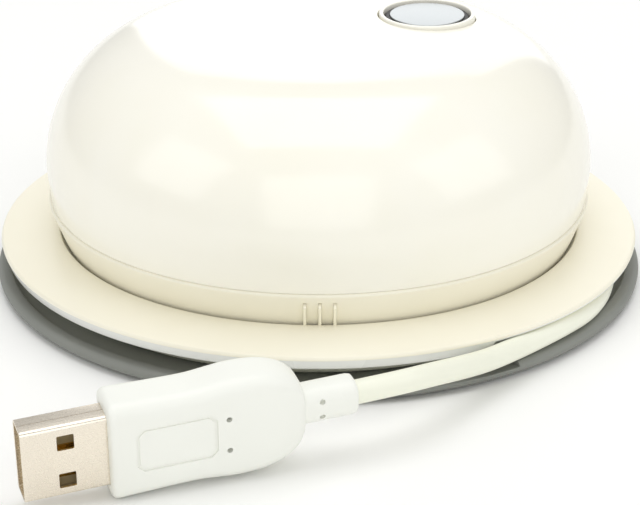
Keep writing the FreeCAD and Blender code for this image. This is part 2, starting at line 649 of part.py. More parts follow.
def dome_section(sketch):
    """Wall section of the dome: a shoulder arc that runs into a flat crown arc."""
    wide, top = Vector(size("dome_r"), size("wide_z"), 0), Vector(0, size("dome_z"), 0)
    hub = wide - Vector(size("shoulder_r"), 0, 0)
    drop, shoulder = top.y - hub.y, size("shoulder_r")
    crown = (hub.x ** 2 + drop ** 2 - shoulder ** 2) / (2 * (drop - shoulder))
    peak = top - Vector(0, crown, 0)
    ray = (hub - peak).normalize()
    wall = size("dome_wall")
    low = Vector(size("dome_low_r"), size("dome_low_z"), 0)
    inward = Vector(wall, 0, 0)
    meet, meet_in = peak + ray * crown, peak + ray * (crown - wall)
    edges = [
        Part.LineSegment(low, wide), arc(hub, shoulder, wide, meet), arc(peak, crown, meet, top),
        Part.LineSegment(top, top - Vector(0, wall, 0)),
        arc(peak, crown - wall, meet_in, top - Vector(0, wall, 0)),
        arc(hub, shoulder - wall, wide - inward, meet_in),
        Part.LineSegment(wide - inward, low - inward), Part.LineSegment(low - inward, low),
    ]
    for edge in edges:
        sketch.addGeometry(edge, False)
    pins = [(0, 1, "dome_low_r", "dome_low_z"), (0, 2, "dome_r", "wide_z"),
            (3, 1, "0", "dome_z"), (3, 2, "0", "dome_z - dome_wall"),
            (6, 1, "dome_r - dome_wall", "wide_z"),
            (6, 2, "dome_low_r - dome_wall", "dome_low_z")]
    for edge, end, x, y in pins:
        pin(sketch, edge, end, x, y)
    pairs = [(0, 2, 1, 1), (2, 2, 3, 1), (3, 2, 4, 2), (5, 1, 6, 1), (6, 2, 7, 1),
             (7, 2, 0, 1), (1, 3, 5, 3)]
    for pair in pairs:
        sketch.addConstraint(Sketcher.Constraint("Coincident", *pair))
    for shoulder_arc, crown_arc in ((1, 2), (5, 4)):
        sketch.addConstraint(Sketcher.Constraint("Tangent", shoulder_arc, 2, crown_arc, 1))
        sketch.addConstraint(Sketcher.Constraint("PointOnObject", crown_arc, 3, -2))
    index = sketch.addConstraint(
        Sketcher.Constraint("DistanceY", -1, 1, 1, 3, size("wide_z")))
    sketch.setExpression("Constraints[%d]" % index, rule("wide_z"))
    hold_radius(sketch, 1, "shoulder_r")


def dome_shell():
    body = doc.addObject("PartDesign::Body", "dome_turned")
    sketch = new_sketch(body, "XZ_Plane", "dome_section")
    dome_section(sketch)
    spin = body.newObject("PartDesign::Revolution", "dome_revolution")
    spin.Profile = sketch
    spin.ReferenceAxis = (sketch, ["V_Axis"])
    spin.Angle = 360
    window = slab("port_window", "dome_r - 4 * dome_wall", "port_wide + 2 * window_gap",
                  "part_z - window_gap", "6 * dome_wall", "port_tall + 2 * window_gap")
    windows = around("port_window_at", window, PORT_TURNS)
    jack = made("Part::Cylinder", "jack_window", Radius="jack_nose_r + window_gap",
                Height="6 * dome_wall")
    jack.Placement.Rotation = Turn(Vector(1, 0, 0), -90)
    put(jack, "0", "dome_r - 4 * dome_wall", "jack_z")
    button = rod("button_window", "cap_r + button_gap + bezel_wall + screw_gap",
                 "dome_z - 6 * dome_wall", "8 * dome_wall", "button_x", "button_y")
    keep("dome_shell", cut("dome_shell", body, *windows, jack, button))


# ---------------------------------------------------------------- circuit board

def circuit_board():
    board = rod("board_disc", "board_r", "collar_top_z", "board_wall")
    hole = rod("board_hole", "screw_hole", "0", "dome_z", "lug_ring")
    holes = around("board_hole_at", hole, LUG_TURNS)
    keep("circuit_board", cut("circuit_board", board, *holes))


def board_parts():
    keep("hub_chip", block("hub_chip", "-chip_wide / 2", "4", "part_z", "chip_wide",
                           "chip_wide", "chip_tall"))
    keep("crystal", block("crystal", "-15", "6", "part_z", "crystal_wide", "crystal_long",
                          "crystal_tall"))
    cans = [rod("capacitor_%d" % n, "can_r", "part_z", "can_tall", x, y)
            for n, (x, y) in enumerate((("-12", "-6"), ("-4", "-12"), ("6", "-8")), 1)]
    keep("capacitors", grouped("capacitors", cans))
    keep("wire_header", block("wire_header", "-header_long / 2", "-header_wide / 2",
                              "collar_top_z - board_gap - header_tall", "header_long",
                              "header_wide", "header_tall"))
    keep("status_led", block("status_led", "bar_x - led_long / 2", "-board_r + led_inset",
                             "collar_top_z - board_gap - led_tall", "led_long", "led_wide",
                             "led_tall"))


def usb_socket(number, turn):
    """One receptacle: folded steel shell, moulded tongue and four sprung contacts."""
    back = "port_mouth - port_long"
    shell = cut("socket_shell_%d" % number,
                slab("socket_outer_%d" % number, back, "port_wide", "part_z", "port_long",
                     "port_tall"),
                slab("socket_inner_%d" % number, back + " - 1", "port_wide - 2 * port_wall",
                     "part_z + port_wall", "port_long + 2", "port_tall - 2 * port_wall"))
    root = slab("socket_root_%d" % number, back + " + tongue_gap",
                "port_wide - 2 * port_wall - 2 * fit_gap", "part_z + port_wall + fit_gap",
                "socket_root", "port_tall - 2 * port_wall - 2 * fit_gap")
    blade = slab("socket_blade_%d" % number, back + " + 1", "tongue_wide",
                 "port_z + blade_up", "port_long - tongue_back - 1", "tongue_thick")
    strips = [block("socket_strip_%d_%d" % (number, n), back + " + socket_root + window_gap",
                    "%s - strip_wide / 2" % y, "port_z + blade_up - strip_thick",
                    "port_long - tongue_back - socket_root - 1", "strip_wide", "strip_thick")
              for n, y in enumerate(STRIPS, 1)]
    pieces = {"usb_shell_%d": shell, "usb_tongue_%d": joined("tongue_%d" % number, root, blade),
              "usb_contacts_%d": grouped("strips_%d" % number, strips)}
    for label, item in pieces.items():
        keep(label % number, put(item, turn=turn))


def dc_jack():
    turn = "90"
    body = slab("jack_body", "jack_face - jack_long", "jack_wide", "part_z", "jack_long",
                "jack_tall")
    nose = made("Part::Cylinder", "jack_nose", Radius="jack_nose_r", Height="jack_nose + 2")
    bore = made("Part::Cylinder", "jack_bore", Radius="jack_bore_r", Height="jack_bore + 2")
    pin_rod = made("Part::Cylinder", "jack_pin", Radius="jack_pin_r", Height="jack_bore - 1")
    for item, x in ((nose, "jack_face - 2"), (bore, "jack_face + jack_nose - jack_bore"),
                    (pin_rod, "jack_face + jack_nose - jack_bore")):
        item.Placement.Rotation = Turn(Vector(0, 1, 0), 90)
        put(item, x, "0", "jack_z")
    keep("dc_jack", put(cut("dc_jack", joined("jack_whole", body, nose), bore), turn=turn))
    keep("dc_jack_pin", put(grouped("dc_jack_pin", [pin_rod]), turn=turn))


# ---------------------------------------------------------------- push button

def push_button():
    here = ("button_x", "button_y")
    bore = "cap_r + button_gap"
    tube_wall = pipe("bezel_tube", "%s + bezel_wall" % bore, bore, "bezel_floor_z",
                     "bezel_tall", *here)
    floor = pipe("bezel_plate", "%s + bezel_wall + bezel_flange" % bore,
                 "stem_r + button_gap", "bezel_floor_z", "bezel_floor", *here)
    keep("button_bezel", joined("button_bezel", tube_wall, floor))
    cap = rod("cap_solid", "cap_r", "cap_low_z", "cap_z - cap_low_z", *here)
    hollow = rod("cap_hollow", "cap_r - cap_skirt", "cap_low_z - 1",
                 "cap_z - cap_wall - cap_low_z + 1", *here)
    seat = rod("disc_seat", "disc_r + fit_gap", "cap_z - disc_wall", "1", *here)
    stem_top = "cap_z - cap_wall"
    keep("button_cap", cut("button_cap", cap, hollow, seat))
    keep("button_disc", rod("button_disc", "disc_r", "cap_z - disc_wall", "disc_wall", *here))
    keep("button_stem", rod("button_stem", "stem_r", "stem_low_z",
                            stem_top + " - stem_low_z", *here))
    keep("switch_plunger", rod("switch_plunger", "plunger_r", "stem_low_z - plunger_tall",
                               "plunger_tall", *here))
    body = block("switch_box", "button_x - switch_wide / 2", "button_y - switch_wide / 2",
                 "part_z", "switch_wide", "switch_wide", "switch_tall")
    well = rod("switch_well", "plunger_r + button_gap",
               "stem_low_z - plunger_tall - travel - button_gap", "9", *here)
    keep("switch_body", cut("switch_body", body, well))
    button_spring()


def button_spring():
    """Coil spring between the bezel's floor and the cap; its wire has eight flats."""
    low = size("bezel_floor_z + bezel_floor + (spring_wire + fit_gap) / 2")
    high = size("cap_z - cap_wall - (spring_wire + fit_gap) / 2")
    radius, wire = size("spring_r"), size("spring_wire")
    helix = Part.makeHelix((high - low) / size("spring_turns"), high - low, radius)
    turns = [math.radians(45 * n) for n in range(9)]
    ring = Part.makePolygon([Vector(radius + wire / 2 * math.cos(a), 0, wire / 2 * math.sin(a))
                             for a in turns])
    item = doc.addObject("Part::Feature", "button_spring")
    item.Shape = Part.Wire(helix.Edges).makePipeShell([ring], True, True)
    item.Placement = FreeCAD.Placement(Vector(size("button_x"), size("button_y"), low), Turn())
    keep("button_spring", item)


# ---------------------------------------------------------------- build and write

def build():
    base_tray()
    rubber_feet()
    ballast_ring()
    cord_flange()
    screws("base_screws", "boss_ring", "tray_z + board_gap", "cavity_z - 0.7", BASE_TURNS)
    slide_washer()
    cord_clamp()
    cord_pieces()
    plug()
    chassis()
    retaining_washer()
    screws("retainer_screws", "keeper_ring", "keeper_z - head_tall",
           "chassis_z + chassis_wall - 0.3", KEEPER_TURNS)
    collar_ring()
    indicator_bars()
    screws("chassis_screws", "lug_ring", "chassis_z + board_gap", "lug_meet_z - 0.2", LUG_TURNS)
    dome_shell()
    circuit_board()
    board_parts()
    screws("board_screws", "lug_ring", "board_top + head_tall", "lug_meet_z + 0.2", LUG_TURNS,
           False)
    for number, turn in enumerate(PORT_TURNS, 1):
        usb_socket(number, turn)
    dc_jack()
    push_button()
    doc.recompute()


def write():
    for item in doc.Objects:
        if "Invalid" in item.State or "Error" in item.State:
            raise RuntimeError("%s failed: %s" % (item.Label, item.State))
    os.makedirs("parts", exist_ok=True)
    for label, item in nodes.items():
        shape = item.Shape
        if shape.isNull() or not shape.isValid() or not shape.Solids:
            raise RuntimeError("%s has no valid solid" % label)
    for label, item in nodes.items():
        item.Shape.exportStep("parts/%s.step" % label)
    print(len(nodes), "nodes written")


build()
write()
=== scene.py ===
# %% [markdown]
# # A round desktop hub with a wound cord
# The hub is a glossy dome on a cream collar. It turns on a saucer that hides the coiled cord, and
# the cord comes out under the saucer's rim and ends in a moulded plug. The frame below holds the
# engineered parts; these cells give them their real surfaces, rounded edges and materials.

# %% Load the frame
import bmesh
import bpy
import json
import math
from mathutils import Matrix, Vector


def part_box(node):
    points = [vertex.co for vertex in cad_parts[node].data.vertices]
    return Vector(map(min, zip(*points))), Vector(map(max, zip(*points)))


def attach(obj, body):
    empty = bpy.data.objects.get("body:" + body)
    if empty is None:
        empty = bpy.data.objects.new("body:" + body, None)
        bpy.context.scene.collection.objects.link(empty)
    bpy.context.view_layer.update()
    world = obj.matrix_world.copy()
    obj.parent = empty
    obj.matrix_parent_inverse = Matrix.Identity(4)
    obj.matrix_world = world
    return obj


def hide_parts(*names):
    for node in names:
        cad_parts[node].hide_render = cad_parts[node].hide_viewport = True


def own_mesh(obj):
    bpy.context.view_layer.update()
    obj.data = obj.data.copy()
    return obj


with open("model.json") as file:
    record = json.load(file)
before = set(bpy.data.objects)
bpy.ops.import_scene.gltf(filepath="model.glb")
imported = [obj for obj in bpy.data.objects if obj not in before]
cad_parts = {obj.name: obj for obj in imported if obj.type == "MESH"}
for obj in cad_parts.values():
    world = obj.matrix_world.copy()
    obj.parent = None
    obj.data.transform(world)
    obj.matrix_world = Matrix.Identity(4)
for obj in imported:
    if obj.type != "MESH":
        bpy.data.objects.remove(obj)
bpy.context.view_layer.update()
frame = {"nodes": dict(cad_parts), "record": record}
nodes = frame["nodes"]
record = frame["record"]
scene = bpy.context.scene
MM = 0.001
print("frame loaded:", len(nodes), "nodes")

# %% [markdown]
# ## Places come from the frame
# Every piece goes where the engineered model says. A small helper reads a node's box, so that a
# radius or a height is never typed twice.


# %% Boxes of the frame's nodes
def box_of(name):
    """Lowest corner, highest corner and middle of a node."""
    low, high = (Vector(corner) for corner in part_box(name))
    return low, high, (low + high) / 2


dome_low, dome_high, _ = box_of("dome_shell")
collar_low, collar_high, _ = box_of("collar_ring")
_, flange_high, _ = box_of("cord_flange")
tray_low, tray_high, _ = box_of("base_tray")
coil_low, coil_high, coil_middle = box_of("cord_coil")
_, _, clamp_middle = box_of("cord_clamp")
_, _, disc_middle = box_of("button_disc")
print("dome radius %.1f mm, hub height %.1f mm" % (dome_high.x / MM, dome_high.z / MM))

# %% [markdown]
# ## Camera
# The hub is seen from in front and above with a long lens, close enough that the frame's edge
# crops the crown. A long lens keeps the saucer's ellipse flat, so the camera stands well back and
# aims at a point just under the hub's middle.

# %% Camera
EYE = Vector((0, -361.6, 159.3)) * MM
AIM = Vector((0.25, -2.34, 2.49)) * MM
LENS = 123.75  # millimetres on a 36 mm sensor

camera_data = bpy.data.cameras.new("studio_camera")
camera_data.lens = LENS
camera_data.sensor_width = 36
camera_data.clip_start = 0.01
camera = bpy.data.objects.new("studio_camera", camera_data)
camera.location = EYE
camera.rotation_euler = (AIM - EYE).to_track_quat("-Z", "Y").to_euler()
scene.collection.objects.link(camera)
scene.camera = camera
print("camera %.0f mm from its aim" % ((EYE - AIM).length / MM))

# %% [markdown]
# ## The cord's route
# The cord is one soft jacket from the clamp to the plug. It starts in the clamp inside the drum,
# eases out to the winding space, lies in flat turns beside each other and leaves through the notch
# in the saucer's lip. The turns follow a rule, so a loop makes them; the free end is given point by
# point.
# One smooth spline through all of it bends the way a soft jacket does.

# %% Cord
cord_diameter = coil_high.z - coil_low.z
TURN_STEP = 15  # degrees between two points of the winding
SETTLE = 50  # degrees from the clamp to the first full turn
WIND_FROM = 95
WIND_TO = -5 - 4 * 360
COIL_INNER = 35.2 * MM
COIL_INSET = 0.2 * MM  # the last turn keeps this far inside the winding space
coil_outer = coil_high.x - cord_diameter / 2 - COIL_INSET
clamp_radius = math.hypot(clamp_middle.x, clamp_middle.y)
LEAD = [
    (49.5, -14.0, 3.75), (47.9, -22.6, 4.2), (44.6, -31.4, 4.75), (39.2, -38.4, 5.0),
    (32.8, -45.0, 5.0), (26.7, -52.3, 5.9), (21.9, -58.0, 7.4), (17.2, -64.0, 9.3),
    (11.3, -69.4, 10.45),
]
PLUG_NECK_END = 38.0 * MM  # from the shell's root to the end of the boot's neck
SHELL_LONG = 12.5 * MM

plug_mount = next(m for m in record["mounts"] if m["name"] == "plug_tip")
plug_axis = Vector(plug_mount["axis"]).normalized()
plug_origin = Vector(plug_mount["pos_m"]) - plug_axis * SHELL_LONG
neck_end = plug_origin - plug_axis * PLUG_NECK_END


def eased(part):
    """A share from 0 to 1 that starts and ends slowly."""
    return part * part * (3 - 2 * part)


def winding():
    """The wound turns, clockwise from the clamp and outwards."""
    places = []
    for step in range((WIND_FROM - WIND_TO) // TURN_STEP + 1):
        gone = step * TURN_STEP
        if gone < SETTLE:
            radius = clamp_radius + (COIL_INNER - clamp_radius) * eased(gone / SETTLE)
        else:
            part = (gone - SETTLE) / (WIND_FROM - WIND_TO - SETTLE)
            radius = COIL_INNER + (coil_outer - COIL_INNER) * part
        turn = math.radians(WIND_FROM - gone)
        places.append(Vector((radius * math.cos(turn), radius * math.sin(turn), coil_middle.z)))
    return places


def smooth_cord(name, places, radius):
    """A round cord along a smooth line that has these points as its control points."""
    data = bpy.data.curves.new(name, "CURVE")
    data.dimensions = "3D"
    spline = data.splines.new("NURBS")
    spline.points.add(len(places) - 1)
    for point, place in zip(spline.points, places):
        point.co = (*place, 1)
    spline.order_u = 3
    spline.use_endpoint_u = True
    data.resolution_u = 8
    data.bevel_depth = radius
    data.bevel_resolution = 6
    data.use_fill_caps = True
    item = bpy.data.objects.new(name, data)
    scene.collection.objects.link(item)
    return item


cord_places = winding() + [Vector(place) * MM for place in LEAD] + [neck_end]
cord = smooth_cord("upstream_cord", cord_places, cord_diameter / 2)
print("cord: %d points, runs %.3f m" % (len(cord_places), sum(
    (b - a).length for a, b in zip(cord_places, cord_places[1:]))))

# %% [markdown]
# ## Turned pieces
# The dome, collar, saucer and base are round mouldings. On the bench each would be turned from its
# half section, and the same works here: an outline of radius and height, its corners rounded as a
# mould needs, is spun about the swivel axis. Real rounded corners catch the light; a bump can't.


# %% Helpers for round mouldings
def rounded(corners, steps=5):
    """A closed outline from (x, y) or (x, y, fillet) corners."""
    points = []
    places = [Vector(corner[:2]) for corner in corners]
    for index, corner in enumerate(corners):
        here = places[index]
        if len(corner) == 2:
            points.append(here)
            continue
        before = (places[index - 1] - here).normalized()
        after = (places[(index + 1) % len(places)] - here).normalized()
        half = before.angle(after) / 2
        middle = here + (before + after).normalized() * corner[2] / math.sin(half)
        start = here + before * corner[2] / math.tan(half) - middle
        end = here + after * corner[2] / math.tan(half) - middle
        sweep = start.angle_signed(end)
        for step in range(steps + 1):
            turn = Matrix.Rotation(-sweep * step / steps, 2)
            points.append(middle + turn @ start)
    return points


def finish_mesh(name, bm, sharp=35):
    """A mesh object with smooth faces and sharp creases."""
    bmesh.ops.remove_doubles(bm, verts=bm.verts, dist=1e-7)
    bmesh.ops.recalc_face_normals(bm, faces=bm.faces)
    mesh = bpy.data.meshes.new(name)
    bm.to_mesh(mesh)
    bm.free()
    mesh.shade_smooth()
    mesh.set_sharp_from_angle(angle=math.radians(sharp))
    item = bpy.data.objects.new(name, mesh)
    scene.collection.objects.link(item)
    return item


def lathe(name, outline, centre=(0, 0), segments=256):
    """Spin a closed outline of (radius, height) points about an upright axis."""
    bm = bmesh.new()
    rings = []
    for radius, height in outline:
        if radius < 1e-7:
            rings.append([bm.verts.new((centre[0], centre[1], height))])
            continue
        rings.append([bm.verts.new((
            centre[0] + radius * math.cos(2 * math.pi * n / segments),
            centre[1] + radius * math.sin(2 * math.pi * n / segments), height))
            for n in range(segments)])
    for ring, after in zip(rings, rings[1:] + rings[:1]):
        if len(ring) == 1 and len(after) == 1:
            continue
        for n in range(segments):
            corners = [ring[n % len(ring)], ring[(n + 1) % len(ring)],
                       after[(n + 1) % len(after)], after[n % len(after)]]
            bm.faces.new(list(dict.fromkeys(corners)))
    return finish_mesh(name, bm)


def prism(name, outline, low, high, place=Matrix.Identity(4)):
    """A closed outline given a height, then put in place."""
    bm = bmesh.new()
    bottom = [bm.verts.new((*point, low)) for point in outline]
    top = [bm.verts.new((*point, high)) for point in outline]
    bm.faces.new(bottom)
    bm.faces.new(top)
    count = len(outline)
    for n in range(count):
        bm.faces.new((bottom[n], bottom[(n + 1) % count], top[(n + 1) % count], top[n]))
    bmesh.ops.transform(bm, matrix=place, verts=bm.verts)
    return finish_mesh(name, bm)


def carved(piece, *cutters, sharp=35):
    """Take cutters away from a piece and drop them."""
    for cutter in cutters:
        tool = piece.modifiers.new("carve", "BOOLEAN")
        tool.operation = "DIFFERENCE"
        tool.solver = "EXACT"
        tool.object = cutter
    bpy.context.view_layer.update()
    graph = bpy.context.evaluated_depsgraph_get()
    mesh = bpy.data.meshes.new_from_object(piece.evaluated_get(graph))
    piece.modifiers.clear()
    old, piece.data = piece.data, mesh
    bpy.data.meshes.remove(old)
    mesh.name = piece.name
    mesh.shade_smooth()
    mesh.set_sharp_from_angle(angle=math.radians(sharp))
    for cutter in cutters:
        bpy.data.objects.remove(cutter)
    return piece


def sector(name, inner, outer, low, high, turn_from, turn_to):
    """A part of a ring between two turns, as a cutter."""
    steps = 24
    turns = [math.radians(turn_from + (turn_to - turn_from) * n / steps) for n in range(steps + 1)]
    outline = [Vector((inner * math.cos(a), inner * math.sin(a))) for a in turns]
    outline += [Vector((outer * math.cos(a), outer * math.sin(a))) for a in reversed(turns)]
    return prism(name, outline, low, high)


def rectangle(long, wide, fillet, middle=(0, 0)):
    """A rectangle with round corners."""
    x, y = middle
    return rounded([
        (x - long / 2, y - wide / 2, fillet), (x + long / 2, y - wide / 2, fillet),
        (x + long / 2, y + wide / 2, fillet), (x - long / 2, y + wide / 2, fillet)])


# %% [markdown]
# ## Dome
# The dome is one injection-moulded shell: a shoulder arc that runs into a flat crown arc, with no
# visible break between them. The two arcs share a tangent where they meet, so the crown's radius
# is worked out from the height and the shoulder. Windows for the sockets, the power inlet and the
# button are cut afterwards, as the mould's side pins make them.

# %% Dome shell
DOME_WALL = 2.2 * MM
WIDE_UP = 5.7 * MM  # from the dome's lower edge to its widest place
SHOULDER = 0.98 * (dome_high.z - dome_low.z - WIDE_UP)  # nearly all the height above that place
DOME_SWELL = 0.6 * MM
EDGE_SEAT = 0.08 * MM  # the moulded edge sits this far down on the collar
EDGE_ROUND, EDGE_ROUND_IN = 0.12 * MM, 0.3 * MM
PORT_TURNS = (36, 66, 114, 144)
PORT_WIDE, PORT_TALL, PORT_ROUND = 13.6 * MM, 6.3 * MM, 0.7 * MM
JACK_WINDOW_R = 4.8 * MM
CUT_FROM, CUT_TO = dome_high.x - 9 * MM, dome_high.x + 4 * MM  # the side pins of the mould
BEZEL_OUT, BEZEL_GAP = 8.4 * MM, 0.1 * MM
HOLE_LEAD = 0.5 * MM  # the button's hole opens this much at the dome's skin


def dome_outline():
    """Outer arcs from the crown to the edge, and the inner arcs back."""
    radius, top, wide_z = dome_high.x, dome_high.z, dome_low.z + WIDE_UP
    hub = Vector((radius - SHOULDER, wide_z))
    drop = top - hub.y
    crown = (hub.x ** 2 + drop ** 2 - SHOULDER ** 2) / (2 * (drop - SHOULDER))
    peak = Vector((0, top - crown))
    meet = math.atan2(hub.y - peak.y, hub.x - peak.x)

    def side(inset, crown_steps, shoulder_steps):
        points = []
        for n in range(crown_steps):
            a = math.pi / 2 + (meet - math.pi / 2) * n / crown_steps
            points.append(peak + Vector((math.cos(a), math.sin(a))) * (crown - inset))
        for n in range(shoulder_steps + 1):
            a = meet * (1 - n / shoulder_steps)
            points.append(hub + Vector((math.cos(a), math.sin(a))) * (SHOULDER - inset))
        points[0].x = 0
        return points

    low, edge = dome_low.z - EDGE_SEAT, radius - DOME_SWELL
    foot = rounded([(radius, wide_z), (edge, low, EDGE_ROUND),
                    (edge - DOME_WALL, low, EDGE_ROUND_IN), (radius - DOME_WALL, wide_z)])
    return side(0, 26, 34) + foot[1:-1] + side(DOME_WALL, 16, 18)[::-1]


def port_window(number, turn):
    """A cutter for one socket's window, standing across the wall."""
    _, _, middle = box_of("usb_shell_%d" % number)
    across = Matrix.Rotation(math.radians(turn), 4, "Z") @ Matrix.Rotation(math.pi / 2, 4, "Y")
    place = Matrix.Translation((0, 0, middle.z)) @ across
    outline = rectangle(PORT_TALL, PORT_WIDE, PORT_ROUND)
    return prism("window_%d" % number, outline, CUT_FROM, CUT_TO, place)


def circle(radius, count=64):
    """A round outline."""
    return [Vector((radius * math.cos(2 * math.pi * n / count),
                    radius * math.sin(2 * math.pi * n / count))) for n in range(count)]


_, _, pin_middle = box_of("dc_jack_pin")
jack_place = Matrix.Translation((0, 0, pin_middle.z)) @ Matrix.Rotation(-math.pi / 2, 4, "X")
bezel_low, bezel_high, _ = box_of("button_bezel")

dome = lathe("dome", dome_outline(), segments=288)
button_hole = lathe("button_hole", [
    (0, bezel_low.z - 3 * MM), (BEZEL_OUT + BEZEL_GAP, bezel_low.z - 3 * MM),
    (BEZEL_OUT + BEZEL_GAP, dome_high.z - 1.2 * MM), (BEZEL_OUT + HOLE_LEAD, dome_high.z + 1 * MM),
    (0, dome_high.z + 1 * MM)], disc_middle.xy, 128)
jack_window = prism("jack_window", circle(JACK_WINDOW_R), CUT_FROM, CUT_TO, jack_place)
port_windows = [port_window(n, turn) for n, turn in enumerate(PORT_TURNS, 1)]
carved(dome, button_hole, jack_window, *port_windows)
print("dome:", len(dome.data.polygons), "faces")

# %% [markdown]
# ## Collar, saucer and base
# The collar tapers in towards the saucer and stands in a narrow recess. The saucer's top slopes
# gently to a rounded rim with a lip under it, and the lip is cut away where the cord passes. The
# base under it is a separate soft-touch ring with a finger scoop at the front.

# %% Collar ring
COLLAR_WALL = 1.8 * MM
TONGUE_TALL, TONGUE_WALL = 1.5 * MM, 1.2 * MM
collar_low_r = 44.8 * MM
collar_top_z = collar_high.z - TONGUE_TALL
rim_out = dome_high.x - DOME_SWELL - DOME_WALL - 0.1 * MM

collar = lathe("collar", rounded([
    (collar_low_r, collar_low.z, 0.4 * MM), (collar_high.x, collar_top_z, 0.4 * MM),
    (rim_out, collar_top_z), (rim_out, collar_high.z, 0.2 * MM),
    (rim_out - TONGUE_WALL, collar_high.z, 0.2 * MM),
    (rim_out - TONGUE_WALL, collar_top_z - 1.6 * MM), (collar_low_r - COLLAR_WALL, collar_low.z)]))
bars_low, bars_high, bars_middle = box_of("indicator_bars")
BAR_STEP, BAR_WIDE, BAR_GAP = 2.4 * MM, 0.5 * MM, 0.02 * MM


def bar_slot(number):
    """A cutter for one light bar's slot, through the collar's wall."""
    outline = rectangle(BAR_WIDE + 2 * BAR_GAP, 12 * MM, 0.1 * MM,
                        (bars_middle.x + number * BAR_STEP, bars_low.y))
    return prism("bar_slot_%d" % number, outline, bars_low.z - BAR_GAP, bars_high.z + BAR_GAP)


carved(collar, *[bar_slot(number) for number in (-1, 0, 1)])
print("collar:", len(collar.data.polygons), "faces")

# %% Saucer with its cord notch
EDGE_DROP = 1.35 * MM  # from the recess's edge down to the rim's widest line
CROWN_DROP = 0.91 * MM  # and to where the rim begins to round
LIP_TALL, LIP_WALL, LIP_TAPER = 1.85 * MM, 1.4 * MM, 0.7 * MM
FLANGE_WALL, RECESS_DEEP, RECESS_WALL = 1.5 * MM, 1.75 * MM, 1.3 * MM
RIM_ROUND = 0.45 * MM
pivot_bore = 10.38 * MM
recess_r = collar_low_r + 0.85 * MM
flange_r = recess_r + 10.35 * MM
top_z = flange_high.z
lip_in = flange_r - LIP_TAPER - LIP_WALL
under_slope = CROWN_DROP / (flange_r - RIM_ROUND - recess_r)
lip_z = top_z - EDGE_DROP - LIP_TALL
recess_z = top_z - RECESS_DEEP
recess_out = recess_r + FLANGE_WALL

saucer = lathe("saucer", rounded([
    (pivot_bore, recess_z - RECESS_WALL), (recess_out, recess_z - RECESS_WALL, 0.3 * MM),
    (recess_out, top_z - FLANGE_WALL * (1 + under_slope), 0.3 * MM),
    (lip_in, top_z - FLANGE_WALL - (lip_in - recess_r) * under_slope, 0.3 * MM),
    (lip_in, lip_z, 0.3 * MM), (flange_r - LIP_TAPER, lip_z, 0.35 * MM),
    (flange_r, top_z - EDGE_DROP, 0.3 * MM),
    (flange_r - RIM_ROUND * 0.6, top_z - CROWN_DROP, 0.4 * MM),
    (recess_r, top_z, 0.35 * MM), (recess_r, recess_z, 0.3 * MM), (pivot_bore, recess_z)]),
    segments=288)
NOTCH_FROM, NOTCH_TO, NOTCH_LAND = -60, -18, 0.45 * MM
carved(saucer, sector("cord_notch", flange_r - 7 * MM, flange_r + MM, lip_z - MM,
                      top_z - EDGE_DROP - NOTCH_LAND, NOTCH_FROM, NOTCH_TO))
print("saucer %.1f mm across" % (2 * flange_r / MM))

# %% Base tray
RIM_WALL, TRAY_FLOOR, DRUM_WALL = 2.4 * MM, 1.05 * MM, 1.8 * MM
DRUM_R, RIM_TALL, SCOOP_TALL = 30 * MM, 2.1 * MM, 1.25 * MM
SCOOP_FROM, SCOOP_TO = -82, -55.5
tray_r = flange_r + 0.8 * MM
floor_z = tray_low.z + TRAY_FLOOR
rim_z = tray_low.z + RIM_TALL

tray = lathe("base_ring", rounded([
    (0, tray_low.z), (tray_r, tray_low.z, 1.0 * MM), (tray_r, rim_z, 0.95 * MM),
    (tray_r - RIM_WALL, rim_z, 0.3 * MM), (tray_r - RIM_WALL, floor_z), (DRUM_R, floor_z),
    (DRUM_R, tray_high.z, 0.3 * MM), (DRUM_R - DRUM_WALL, tray_high.z, 0.3 * MM),
    (DRUM_R - DRUM_WALL, floor_z), (0, floor_z)]), segments=288)
carved(tray, sector("finger_scoop", tray_r - RIM_WALL - MM, tray_r + MM,
                    tray_low.z + SCOOP_TALL, rim_z + MM, SCOOP_FROM, SCOOP_TO))
print("base %.1f mm across" % (2 * tray_r / MM))

# %% [markdown]
# ## Things that repeat
# The rubber feet and the screws under the base sit on circles, and the three light bars stand in a
# row. Geometry Nodes place copies of one good piece: a circle or a line gives the points, the piece
# is set on each, and the result is made real so that it can be exported.


# %% Node helper
def add(tree, kind, inputs=None, **settings):
    """Add one node with its settings, values and links."""
    item = tree.nodes.new(kind)
    for name, value in settings.items():
        setattr(item, name, value)
    for name, value in (inputs or {}).items():
        if isinstance(value, bpy.types.NodeSocket):
            tree.links.new(value, item.inputs[name])
        else:
            item.inputs[name].default_value = value
    return item


